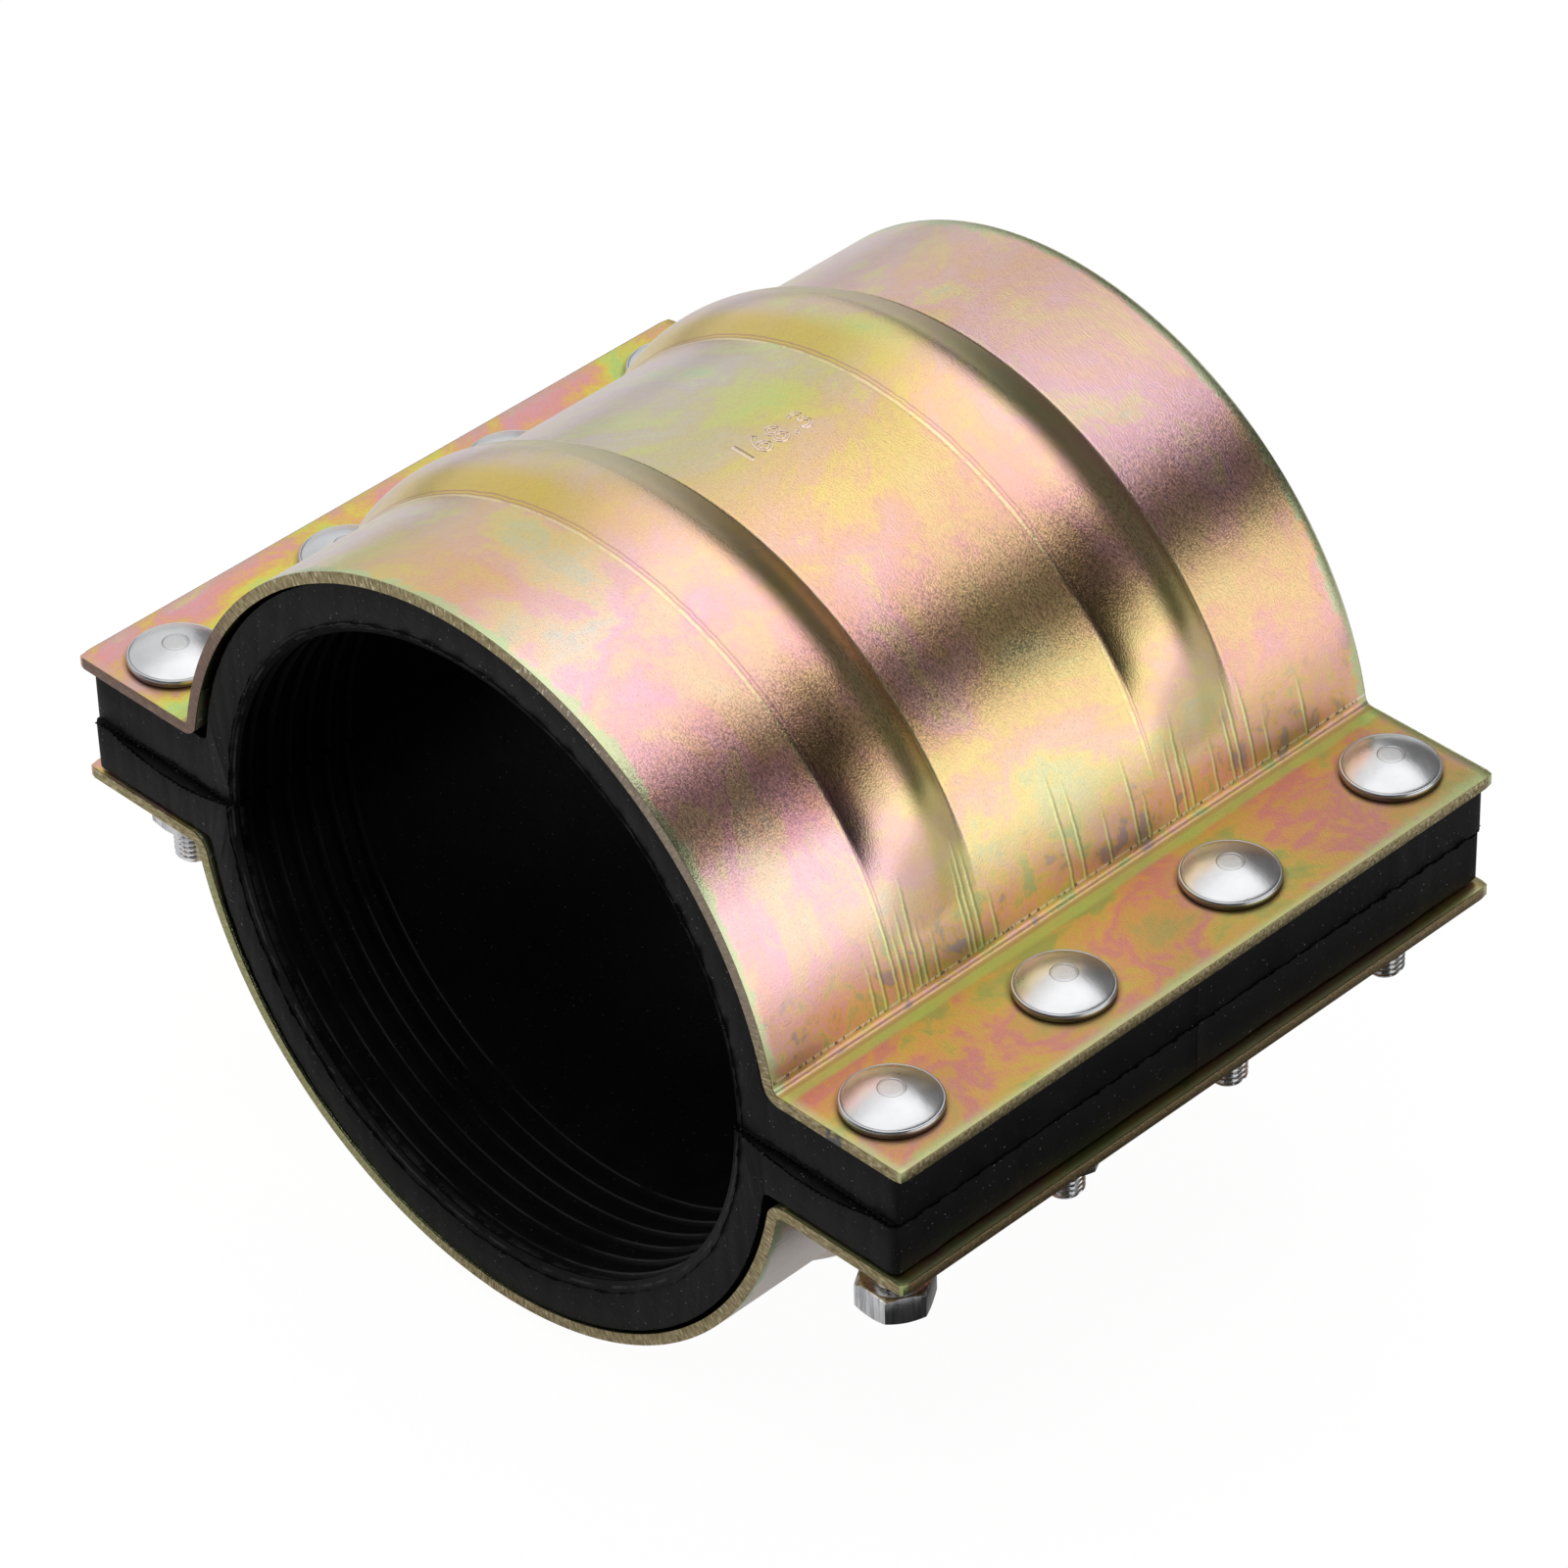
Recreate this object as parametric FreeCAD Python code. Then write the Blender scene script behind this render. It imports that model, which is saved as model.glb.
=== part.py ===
import FreeCAD, Part
import math
import os

# A split clamp that seals a leak in a steel pipe: two pressed sheet shells with flat flanges,
# a rubber half-gasket in each, and carriage bolts with hex nuts along both sides.
# Millimetres. The pipe runs along Y, the flanges lie to the left and right along X, and Z is up.
# The origin is the middle of the clamp on the pipe's axis, where the two halves part.

# Gaskets
bore_radius = 85.0
gasket_wall = 10.5
gasket_end_inset = 0.5
gasket_flange_thickness = 14.8
parting_gap = 0.4
upper_gasket_shift = 1.0
gasket_inset_side = 3.0
gasket_corner_radius = 2.0
gasket_root_radius = 2.5
lip_bevel = 1.2
groove_count = 6
groove_pitch = 6.4
groove_width = 3.4
groove_depth = 1.2
groove_start = 1.6

# Hollows in the parting face at both ends, deepest at the end face
relief_start = 3.0
relief_width = 42.0
relief_run = 7.0
upper_relief_depth = 0.8
lower_relief_depth = 3.2

# Shells
shell_thickness = 3.0
leg_gap = 3.0
seat_gap = 0.3
upper_flange_gap = 0.2
lower_flange_gap = 1.4
clamp_length = 200.0
flange_reach = 38.5
bend_radius = 2.0
flange_corner_radius = 1.5

# Pressed ribs in the shells
rib_spacing = 88.0
rib_width = 29.0
rib_height = 5.0
rib_end_angle = 19.5
rib_full_angle = 36.0
rib_root_overlap = 0.02
rib_end_sink = 0.15
rib_slices = 12

# Bolts and nuts
bolts_per_side = 4
bolt_end_margin = 16.0
bolt_stand_off = 20.0
bolt_diameter = 10.0
bolt_length = 60.0
bolt_tip_chamfer = 1.1
head_diameter = 24.6
head_height = 5.2
head_rim = 1.5
head_edge_radius = 0.5
neck_width = 10.0
neck_length = 5.0
neck_clearance = 0.25
hole_clearance = 0.5
gasket_hole_clearance = 0.4
nut_width = 17.0
nut_height = 8.0
nut_chamfer_angle = 30.0
nut_face_share = 0.96
thread_clearance = 0.075
nut_mouth_chamfer = 0.6

# How far each nut's top stands below the lower flange: all on the left, then on the right from the front
left_nut_gap = 4.0
first_nut_gap = 14.1
second_nut_gap = 5.6
rear_nut_gap = 1.5

# What follows from the sizes above
half_length = clamp_length / 2
gasket_outer_radius = bore_radius + gasket_wall
shell_inner_radius = gasket_outer_radius + leg_gap
shell_outer_radius = shell_inner_radius + shell_thickness
gasket_rise = leg_gap - seat_gap
flange_under = parting_gap / 2 + gasket_flange_thickness + upper_flange_gap
flange_top = flange_under + shell_thickness
flange_edge = shell_outer_radius + flange_reach
bolt_x = shell_outer_radius + bolt_stand_off
bolt_radius = bolt_diameter / 2
head_radius = head_diameter / 2
bolt_pitch = (clamp_length - 2 * bolt_end_margin) / (bolts_per_side - 1)
bolt_rows = [-half_length + bolt_end_margin + k * bolt_pitch for k in range(bolts_per_side)]
rib_centres = [-rib_spacing / 2, rib_spacing / 2]
gasket_half_length = half_length - gasket_end_inset
gasket_edge = flange_edge - gasket_inset_side
gasket_hole_radius = neck_width / math.sqrt(2) + gasket_hole_clearance

V = FreeCAD.Vector
pipe_axis = V(0, 1, 0)


def line(a, b):
    return Part.LineSegment(a, b).toShape()


def arc(a, b, c):
    return Part.Arc(a, b, c).toShape()


def box(x0, x1, y0, y1, z0, z1):
    return Part.makeBox(x1 - x0, y1 - y0, z1 - z0, V(x0, y0, z0))


def rod(radius, x, y, z0, z1):
    return Part.makeCylinder(radius, z1 - z0, V(x, y, z0), V(0, 0, 1))


def along_pipe(edges, y0, y1):
    # A flat outline in the XZ plane at y0, drawn out to y1
    return Part.Face(Part.Wire(edges)).extrude(V(0, y1 - y0, 0))


def lower(shape):
    # The lower half is the upper one turned half a turn about the pipe's axis
    turned = shape.copy()
    turned.rotate(V(0, 0, 0), pipe_axis, 180)
    return turned


def edges_along(shape, direction, test):
    # Straight edges in one direction whose middle passes a test
    found = []
    for edge in shape.Edges:
        if edge.Curve.TypeId != "Part::GeomLine":
            continue
        tangent = edge.tangentAt(edge.FirstParameter)
        if abs(tangent.dot(direction)) > 0.999 and test(edge.CenterOfMass):
            found.append(edge)
    return found


def on_circle(radius, height, centre_height=0.0):
    # Half the width of a circle at a height
    return math.sqrt(radius ** 2 - (height - centre_height) ** 2)


# Plain shell: an arch with a flat flange at each foot, bent with a true inner and outer radius
def plain_shell():
    outer_foot = on_circle(shell_outer_radius, flange_top)
    inner_foot = on_circle(shell_inner_radius, flange_under)
    y = -half_length
    points = [
        V(inner_foot, y, flange_under),
        V(flange_edge, y, flange_under),
        V(flange_edge, y, flange_top),
        V(outer_foot, y, flange_top),
    ]
    left = [V(-p.x, y, p.z) for p in points]
    edges = [line(points[k], points[k + 1]) for k in range(3)]
    edges.append(arc(points[3], V(0, y, shell_outer_radius), left[3]))
    edges += [line(left[k + 1], left[k]) for k in reversed(range(3))]
    edges.append(arc(left[0], V(0, y, shell_inner_radius), points[0]))
    shell = along_pipe(edges, -half_length, half_length)
    near = shell_thickness / 4
    creases = edges_along(shell, pipe_axis, lambda c: abs(abs(c.x) - outer_foot) < near
                          and abs(c.z - flange_top) < near)
    shell = shell.makeFillet(bend_radius, creases)
    corners = edges_along(shell, pipe_axis, lambda c: abs(abs(c.x) - inner_foot) < near
                          and abs(c.z - flange_under) < near)
    shell = shell.makeFillet(bend_radius + shell_thickness, corners)
    ends = edges_along(shell, V(0, 0, 1), lambda c: abs(abs(c.x) - flange_edge) < near)
    return shell.makeFillet(flange_corner_radius, ends)


def rib_fade(angle):
    # 1 over the arch and 0 where the rib runs out, with a soft change between
    share = (min(angle, 180 - angle) - rib_end_angle) / (rib_full_angle - rib_end_angle)
    share = max(0.0, min(1.0, share))
    return share * share * (3 - 2 * share)


def rib_section(angle, centre, radius, width, height, depth):
    # One slice of a rib at an angle round the pipe: an arched top over a flat root in the sheet
    fade = rib_fade(angle)
    a = math.radians(angle)
    crest = radius - rib_root_overlap + height * fade
    sunk = rib_root_overlap + (1 - fade) ** 4 * rib_end_sink

    def at(y, r):
        return V(r * math.cos(a), y, r * math.sin(a))

    y0, y1 = centre - width / 2, centre + width / 2
    side, root = radius - sunk, radius - depth
    return Part.Wire([
        arc(at(y0, side), at(centre, crest), at(y1, side)),
        line(at(y1, side), at(y1, root)),
        line(at(y1, root), at(y0, root)),
        line(at(y0, root), at(y0, side)),
    ])


def rib(centre, radius, width, height, depth):
    # A rib that follows the arch: full height over the top, and a run-out at each foot
    def slice_at(angle):
        return rib_section(angle, centre, radius, width, height, depth)

    turn = 180 - 2 * rib_full_angle
    crown = Part.Face(slice_at(rib_full_angle)).revolve(V(0, 0, 0), V(0, -1, 0), turn)
    step = (rib_full_angle - rib_end_angle) / rib_slices
    fall = [rib_full_angle - step * k for k in range(rib_slices + 1)]
    right = Part.makeLoft([slice_at(angle) for angle in fall], True, False)
    left = Part.makeLoft([slice_at(180 - angle) for angle in fall], True, False)
    return [crown, right, left]


def upper_half_shell():
    shell = plain_shell()
    # The sheet keeps its thickness over a rib, so the inside arch is narrower by the same offset
    rib_radius = (rib_width ** 2 / 4 + rib_height ** 2) / (2 * rib_height)
    sink = shell_outer_radius + rib_height - rib_radius
    inner_half = math.sqrt((rib_radius - shell_thickness) ** 2 - (shell_inner_radius - sink) ** 2)
    for centre in rib_centres:
        shell = shell.fuse(rib(centre, shell_outer_radius, rib_width, rib_height, shell_thickness / 2))
    for centre in rib_centres:
        shell = shell.cut(rib(centre, shell_inner_radius, 2 * inner_half, rib_height, shell_thickness))
    return shell.removeSplitter()


# Gasket: a half ring with a flat flange at each foot, and sealing grooves near both ends of its bore
def upper_half_gasket(flange_gap, relief_depth):
    y = -gasket_half_length
    foot = parting_gap / 2
    top = flange_under - flange_gap
    bore_foot = on_circle(bore_radius, foot)
    leg_top = on_circle(gasket_outer_radius, top, gasket_rise)
    points = [V(bore_foot, y, foot), V(gasket_edge, y, foot), V(gasket_edge, y, top), V(leg_top, y, top)]
    left = [V(-p.x, y, p.z) for p in points]
    edges = [line(points[k], points[k + 1]) for k in range(3)]
    edges.append(arc(points[3], V(0, y, gasket_rise + gasket_outer_radius), left[3]))
    edges += [line(left[k + 1], left[k]) for k in reversed(range(3))]
    edges.append(arc(left[0], V(0, y, bore_radius), points[0]))
    gasket = along_pipe(edges, -gasket_half_length, gasket_half_length)
    near = gasket_root_radius / 4
    roots = edges_along(gasket, pipe_axis, lambda c: abs(abs(c.x) - leg_top) < near and abs(c.z - top) < near)
    gasket = gasket.makeFillet(gasket_root_radius, roots)
    ends = edges_along(gasket, V(0, 0, 1), lambda c: abs(abs(c.x) - gasket_edge) < near)
    gasket = gasket.makeFillet(gasket_corner_radius, ends)
    tools = []
    for end in (-1, 1):
        mouth = end * gasket_half_length
        # Bevelled lip where the pipe enters
        tools.append(Part.makeCone(bore_radius + lip_bevel, bore_radius - lip_bevel, 2 * lip_bevel,
                                   V(0, mouth, 0), V(0, -end, 0)))
        for k in range(groove_count):
            start = mouth - end * (groove_start + k * groove_pitch)
            tools.append(Part.makeCylinder(bore_radius + groove_depth, groove_width,
                                           V(0, start, 0), V(0, -end, 0)))
        for side in (-1, 1):
            tools.append(relief(side, end, mouth, foot, relief_depth))
    return gasket.cut(tools)


def relief(side, end, mouth, foot, depth):
    # A shallow scoop in the parting face that runs out along the pipe, begun a little outside the rubber
    inner = side * (bore_radius + relief_start)
    outer = side * (bore_radius + relief_start + relief_width)
    floor = foot - parting_gap
    a, b, c = V(inner, mouth, floor), V((inner + outer) / 2, mouth, foot + depth), V(outer, mouth, floor)
    outline = Part.Face(Part.Wire([arc(a, b, c), line(c, a)]))
    return outline.extrude(V(0, -end * relief_run, -depth))


# Carriage bolt: a low dome with a rim, a square neck that stops it turning, and a plain shank
def carriage_bolt(x, y):
    seat = flange_top
    rim_top = seat + head_rim
    crown = seat + head_height
    profile = Part.Wire([
        line(V(0, 0, seat), V(head_radius, 0, seat)),
        line(V(head_radius, 0, seat), V(head_radius, 0, rim_top)),
        arc(V(head_radius, 0, rim_top), dome_point(rim_top, crown), V(0, 0, crown)),
        line(V(0, 0, crown), V(0, 0, seat)),
    ])
    head = Part.Face(profile).revolve(V(0, 0, 0), V(0, 0, 1), 360)
    rim_edges = [e for e in head.Edges if not e.Degenerated and e.Curve.TypeId == "Part::GeomCircle"
                 and abs(e.Curve.Radius - head_radius) < 1e-6]
    head = head.makeFillet(head_edge_radius, rim_edges)
    head.translate(V(x, y, 0))
    half_neck = neck_width / 2
    neck = box(x - half_neck, x + half_neck, y - half_neck, y + half_neck, seat - neck_length, seat)
    tip = seat - bolt_length
    shank = rod(bolt_radius, x, y, tip + bolt_tip_chamfer, seat)
    point = Part.makeCone(bolt_radius - bolt_tip_chamfer, bolt_radius, bolt_tip_chamfer,
                          V(x, y, tip), V(0, 0, 1))
    return head.fuse([neck, shank, point]).removeSplitter()


def dome_point(rim_top, crown):
    # The middle of the dome's arc, from the circle through the rim's edge and the crown
    rise = crown - rim_top
    sphere = (head_radius ** 2 + rise ** 2) / (2 * rise)
    half_angle = math.asin(head_radius / sphere) / 2
    return V(sphere * math.sin(half_angle), 0, crown - sphere + sphere * math.cos(half_angle))


# Hex nut, bevelled at both faces, with a mouth bevel at both ends of its bore
def hex_nut(x, y, gap):
    top = -flange_top - gap
    bottom = top - nut_height
    corner = nut_width / math.sqrt(3)
    turns = [math.radians(60 * k) for k in range(6)]
    ring = [V(x + corner * math.cos(turn), y + corner * math.sin(turn), bottom) for turn in turns]
    blank = Part.Face(Part.makePolygon(ring + ring[:1])).extrude(V(0, 0, nut_height))
    face_radius = nut_width / 2 * nut_face_share
    slope = math.tan(math.radians(nut_chamfer_angle))
    drop = (corner - face_radius) * slope
    outline = Part.makePolygon([
        V(0, 0, bottom), V(face_radius, 0, bottom), V(corner, 0, bottom + drop),
        V(corner, 0, top - drop), V(face_radius, 0, top), V(0, 0, top), V(0, 0, bottom),
    ])
    turned = Part.Face(outline).revolve(V(0, 0, 0), V(0, 0, 1), 360)
    turned.translate(V(x, y, 0))
    hole = bolt_radius + thread_clearance
    mouth = hole + nut_mouth_chamfer
    up = V(0, 0, 1)
    bore = rod(hole, x, y, bottom, top)
    low_mouth = Part.makeCone(mouth, hole, nut_mouth_chamfer, V(x, y, bottom), up)
    high_mouth = Part.makeCone(hole, mouth, nut_mouth_chamfer, V(x, y, top - nut_mouth_chamfer), up)
    return blank.common(turned).cut([bore, low_mouth, high_mouth])


# Holes in the flanges: square for the bolts' necks above, round below, round in the rubber
def square_holes():
    half = neck_width / 2 + neck_clearance
    z0, z1 = flange_under - 1, flange_top + 1
    return [box(side * bolt_x - half, side * bolt_x + half, y - half, y + half, z0, z1)
            for side in (-1, 1) for y in bolt_rows]


def round_holes(radius, z0, z1):
    return [rod(radius, side * bolt_x, y, z0, z1) for side in (-1, 1) for y in bolt_rows]


os.makedirs("parts", exist_ok=True)
sheet = upper_half_shell()
upper_rubber = upper_half_gasket(upper_flange_gap, upper_relief_depth)
upper_rubber.translate(V(0, upper_gasket_shift, 0))
lower_rubber = lower(upper_half_gasket(lower_flange_gap, lower_relief_depth))
hole_radius = bolt_radius + hole_clearance
parts = {
    "upper_shell": sheet.cut(square_holes()),
    "lower_shell": lower(sheet).cut(round_holes(hole_radius, -flange_top - 1, 1 - flange_under)),
    "upper_gasket": upper_rubber.cut(round_holes(gasket_hole_radius, 0, flange_under)),
    "lower_gasket": lower_rubber.cut(round_holes(gasket_hole_radius, -flange_under, 0)),
}
for side_name, side in (("left", -1), ("right", 1)):
    for number, row in enumerate(bolt_rows, start=1):
        gap = left_nut_gap
        if side_name == "right":
            gap = {1: first_nut_gap, 2: second_nut_gap}.get(number, rear_nut_gap)
        parts[f"bolt_{side_name}_{number}"] = carriage_bolt(side * bolt_x, row)
        parts[f"nut_{side_name}_{number}"] = hex_nut(side * bolt_x, row, gap)

for name, shape in parts.items():
    solids = shape.Solids
    print(name, "valid", shape.isValid(), "solids", len(solids), "volume", round(shape.Volume, 1))
    solids[0].exportStep(f"parts/{name}.step")
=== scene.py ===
# %% [markdown]
# # A pipe repair clamp
# Two pressed half shells, a rubber sleeve in two halves, eight carriage bolts and their nuts.
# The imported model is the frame: it says where each piece is and how big it is. The looks are made
# over it, piece by piece, in metres and in the same place.

# %% Load the frame
import math
from contextlib import contextmanager
from functools import partialmethod

import bpy
from mathutils import Matrix, Vector


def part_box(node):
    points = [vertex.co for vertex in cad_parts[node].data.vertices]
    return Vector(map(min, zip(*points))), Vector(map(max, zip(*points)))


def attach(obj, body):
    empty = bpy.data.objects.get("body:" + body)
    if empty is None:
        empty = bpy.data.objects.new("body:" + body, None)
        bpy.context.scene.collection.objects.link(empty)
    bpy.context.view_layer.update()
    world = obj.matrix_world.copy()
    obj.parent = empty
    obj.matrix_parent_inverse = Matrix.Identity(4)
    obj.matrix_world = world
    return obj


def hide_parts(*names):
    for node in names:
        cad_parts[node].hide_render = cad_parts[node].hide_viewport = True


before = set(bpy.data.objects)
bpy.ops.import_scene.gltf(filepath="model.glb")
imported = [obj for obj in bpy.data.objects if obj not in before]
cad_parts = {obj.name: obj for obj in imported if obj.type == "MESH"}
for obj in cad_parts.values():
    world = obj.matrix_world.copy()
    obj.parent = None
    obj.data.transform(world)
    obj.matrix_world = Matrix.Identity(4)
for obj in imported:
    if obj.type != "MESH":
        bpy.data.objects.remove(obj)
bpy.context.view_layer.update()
scene = bpy.context.scene
scene.view_settings.view_transform = "Standard"

# %% [markdown]
# ## The sizes that every piece shares
# A clamp is drawn from its pipe outwards: the rubber goes round the pipe, the sheet round the rubber,
# and the bolts stand in the flanges. The same few sizes are used below by the sheet, the rubber and the
# bolts, so that they fit each other as the frame's pieces do.

# %% Shared sizes
MM = 0.001
SHELL_OUTER = 101.5 * MM
SHELL_INNER = 98.5 * MM
FLANGE_TOP = 18.2 * MM
FLANGE_UNDER = 15.2 * MM
HALF_WIDTH = 140 * MM
HALF_LENGTH = 100 * MM
BEND_INSIDE = 2 * MM
BOLT_X = 121.5 * MM
ROWS = [(-84 + 56 * k) * MM for k in range(4)]
RIBS = [-44 * MM, 44 * MM]
RIB_WIDTH = 29 * MM
RIB_HEIGHT = 5 * MM
SIDES = {"left": -1, "right": 1}
print("bolt rows in mm", [round(y / MM) for y in ROWS])


# %% [markdown]
# ## A blank that is pressed to shape
# Sheet and rubber both start as a flat block here, as they do in a press. A grid primitive gives the
# rows and columns, one extrude gives the second face, and then each point is moved to where the die
# would put it. Bending and shearing by hand would also do it, but the ribs and the bends have exact
# radii, and a rule for each point keeps them exact.

# %% Helpers for pressed pieces
def start_mesh(name):
    """Names the primitive that was just added, and gives it back."""
    piece = bpy.context.object
    piece.name = piece.data.name = name
    return piece


def select_only(*pieces):
    """Selects these pieces and no others. The first one is active."""
    for other in bpy.context.selected_objects:
        other.select_set(False)
    for piece in pieces:
        piece.select_set(True)
        bpy.context.view_layer.objects.active = pieces[0]


def join(pieces):
    select_only(*pieces)
    bpy.ops.object.join()
    return pieces[0]


@contextmanager
def editing(select):
    """Edit mode for the lines below it. select is what is done to the selection first, or None."""
    bpy.ops.object.mode_set(mode="EDIT")
    if select:
        bpy.ops.mesh.select_all(action=select)
    yield
    bpy.ops.object.mode_set(mode="OBJECT")


def press_block(name, columns, rows, top, bottom):
    """A block of columns by rows quads. top and bottom give the place of point (column, row)."""
    select_only()
    bpy.ops.mesh.primitive_grid_add(x_subdivisions=columns, y_subdivisions=rows, size=1)
    piece = start_mesh(name)
    with editing("SELECT"):
        bpy.ops.mesh.extrude_region_move(TRANSFORM_OT_translate={"value": (0, 0, -1)})
    for v in piece.data.vertices:
        column = round((v.co.x + 0.5) * columns)
        row = round((v.co.y + 0.5) * rows)
        v.co = top(column, row) if v.co.z > -0.5 else bottom(column, row)
    with editing("SELECT"):
        bpy.ops.mesh.normals_make_consistent(inside=False)
    return piece


def modify(piece, kind, **settings):
    """Adds one modifier and applies it."""
    modifier = piece.modifiers.new(kind.lower(), kind)
    for key, value in settings.items():
        setattr(modifier, key, value)
    select_only(piece)
    bpy.ops.object.modifier_apply(modifier=modifier.name)


def cut(piece, other, operation="DIFFERENCE"):
    """Cuts a piece with another one, which is thrown away."""
    modify(piece, "BOOLEAN", operation=operation, solver="EXACT", object=other)
    bpy.data.objects.remove(other)


def soften(piece, width, degrees=40, segments=2):
    """Rounds the piece's sharp edges, as tumbling and handling do."""
    modify(piece, "BEVEL", width=width, segments=segments, limit_method="ANGLE",
           angle_limit=math.radians(degrees))


def smooth(piece, degrees):
    select_only(piece)
    bpy.ops.object.shade_smooth_by_angle(angle=math.radians(degrees))


def copy_of(pattern, name, place):
    """A copy with its own mesh. place gives each point's new place."""
    copy = pattern.copy()
    copy.data = pattern.data.copy()
    copy.name = copy.data.name = name
    scene.collection.objects.link(copy)
    for v in copy.data.vertices:
        v.co = place(v.co)
    return copy


def evenly(start, end, steps):
    """Places from start to end, both of them included."""
    return [start + (end - start) * k / steps for k in range(steps + 1)]


# %% [markdown]
# ## The outline of a half shell
# Seen from the end, a half shell is an arch with a flat foot on each side. The outside of the bend has
# a small radius and the inside a larger one, because the sheet keeps its thickness. One list of points
# and directions, from the right foot's edge to the left one's, serves the outside and the inside: the
# inside is the same list moved in by the sheet's thickness.

# %% Outline points, with the direction that faces out of the sheet
bend_height = FLANGE_TOP + BEND_INSIDE
bend_x = math.sqrt((SHELL_OUTER + BEND_INSIDE) ** 2 - bend_height ** 2)
bend_angle = math.atan2(bend_height, bend_x)


def outline():
    """(x, z, outward x, outward z, angle round the pipe) from the right edge to the left edge."""
    points = [(x, FLANGE_TOP, 0.0, 1.0, 0.0) for x in evenly(HALF_WIDTH, bend_x, 18)[:-1]]
    for k in range(9):
        a = -math.pi / 2 - (math.pi / 2 - bend_angle) * k / 8
        points.append((bend_x + BEND_INSIDE * math.cos(a), bend_height + BEND_INSIDE * math.sin(a),
                       -math.cos(a), -math.sin(a), 0.0))
    for a in evenly(bend_angle, math.pi / 2, 78)[1:]:
        points.append((SHELL_OUTER * math.cos(a), SHELL_OUTER * math.sin(a), math.cos(a), math.sin(a), a))
    left = [(-x, z, -nx, nz, math.pi - a if a else 0.0) for x, z, nx, nz, a in reversed(points[:-1])]
    return points + left


OUTLINE = outline()
print("outline points", len(OUTLINE))

# %% [markdown]
# ## Where the ribs rise
# Each half shell has two ribs that stiffen it round the pipe. A rib is a low arch across, as high over
# the whole crown and fading to nothing above each foot. The rule below gives its height at any point. It
# ends in a small radius instead of a knife edge, since sheet can't be pressed sharper than that.

# %% Height of the pressed ribs
RIB_FULL = math.radians(36)
RIB_END = math.radians(19.5)
CREASE = 0.45 * MM
FURROW_DEPTH, FURROW_WIDTH, FURROW_OUT = 0.05 * MM, 0.4 * MM, 0.8 * MM


def fade_of(angle):
    share = (min(angle, math.pi - angle) - RIB_END) / (RIB_FULL - RIB_END)
    share = max(0.0, min(1.0, share))
    return share * (1 + share * (3 - 2 * share)) / 2


def rib_lift(angle, y, width, height):
    """How far the sheet stands out at this angle and this place along the pipe."""
    rise = height * fade_of(angle)
    if rise < 0.01 * MM:
        return 0.0
    across = min(abs(y - centre) for centre in RIBS)
    round_radius = (width * width / 4 + rise * rise) / (2 * rise)
    if across > min(width, round_radius * 0.98):
        return 0.0
    arch = math.sqrt(round_radius ** 2 - across ** 2) - (round_radius - rise)
    soft = CREASE * min(1.0, rise / height * 3)
    from_furrow = (across - width / 2 - FURROW_OUT) / FURROW_WIDTH
    furrow = FURROW_DEPTH * min(1.0, rise / height * 4) * math.exp(-from_furrow ** 2)
    return (arch + math.sqrt(arch * arch + soft * soft)) / 2 - furrow if arch > -3 * MM else 0.0


def shell_rows():
    """Places along the pipe: close together on the ribs' edges, wide apart on the plain bands."""
    rows = evenly(-HALF_LENGTH, HALF_LENGTH, 66)
    half, band = RIB_WIDTH / 2, 2 * MM
    for centre in RIBS:
        rows = [y for y in rows if abs(y - centre) > half + band]
        rows += evenly(centre - half + band, centre + half - band, 16)
        for step in (-1.7, -1.4, -1.1, -0.8, -0.5, -0.25, 0, 0.25, 0.5, 0.8, 1.1, 1.4, 1.7):
            rows += [centre - half + step * MM, centre + half + step * MM]
    return sorted(rows)


ROW_Y = shell_rows()
crown_lift = rib_lift(math.pi / 2, RIBS[0], RIB_WIDTH, RIB_HEIGHT)
print("rows along the pipe", len(ROW_Y), "lift on a crown in mm", round(crown_lift / MM, 2))

# %% [markdown]
# ## The half shells
# The upper shell is pressed from the blank. The lower one is the same pressing turned half a turn about
# the pipe, so it is a copy. Bolt holes are cut with boolean modifiers: square ones above, which keep the
# bolts from turning, and round ones below.

# %% Press the upper shell
THICKNESS = SHELL_OUTER - SHELL_INNER
INNER_RIB_WIDTH = 26.8 * MM
SQUARE_HOLE = 10.5 * MM
ROUND_HOLE = 5.5 * MM


def corner_trim(x, y, half_width=HALF_WIDTH, half_length=HALF_LENGTH, radius=1.5 * MM):
    """Takes a flange's corners in by their small radius."""
    over_x = abs(x) - (half_width - radius)
    over_y = abs(y) - (half_length - radius)
    if over_x <= 0 or over_y <= 0:
        return x, y
    scale = min(1.0, radius / math.hypot(over_x, over_y))
    return (math.copysign(half_width - radius + over_x * scale, x),
            math.copysign(half_length - radius + over_y * scale, y))


def shell_point(column, row, rib_width, depth):
    """A point of the sheet: depth is 0 on its outside and the thickness on its inside."""
    x, z, nx, nz, angle = OUTLINE[column]
    y = ROW_Y[row]
    lift = (rib_lift(angle, y, rib_width, RIB_HEIGHT) if angle else 0.0) - depth
    x, y = corner_trim(x + nx * lift, y)
    return Vector((x, y, z + nz * lift))


upper_shell = press_block("upper_half_shell", len(OUTLINE) - 1, len(ROW_Y) - 1,
                          lambda column, row: shell_point(column, row, RIB_WIDTH, 0.0),
                          lambda column, row: shell_point(column, row, INNER_RIB_WIDTH, THICKNESS))
print("upper shell faces", len(upper_shell.data.polygons))

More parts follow.
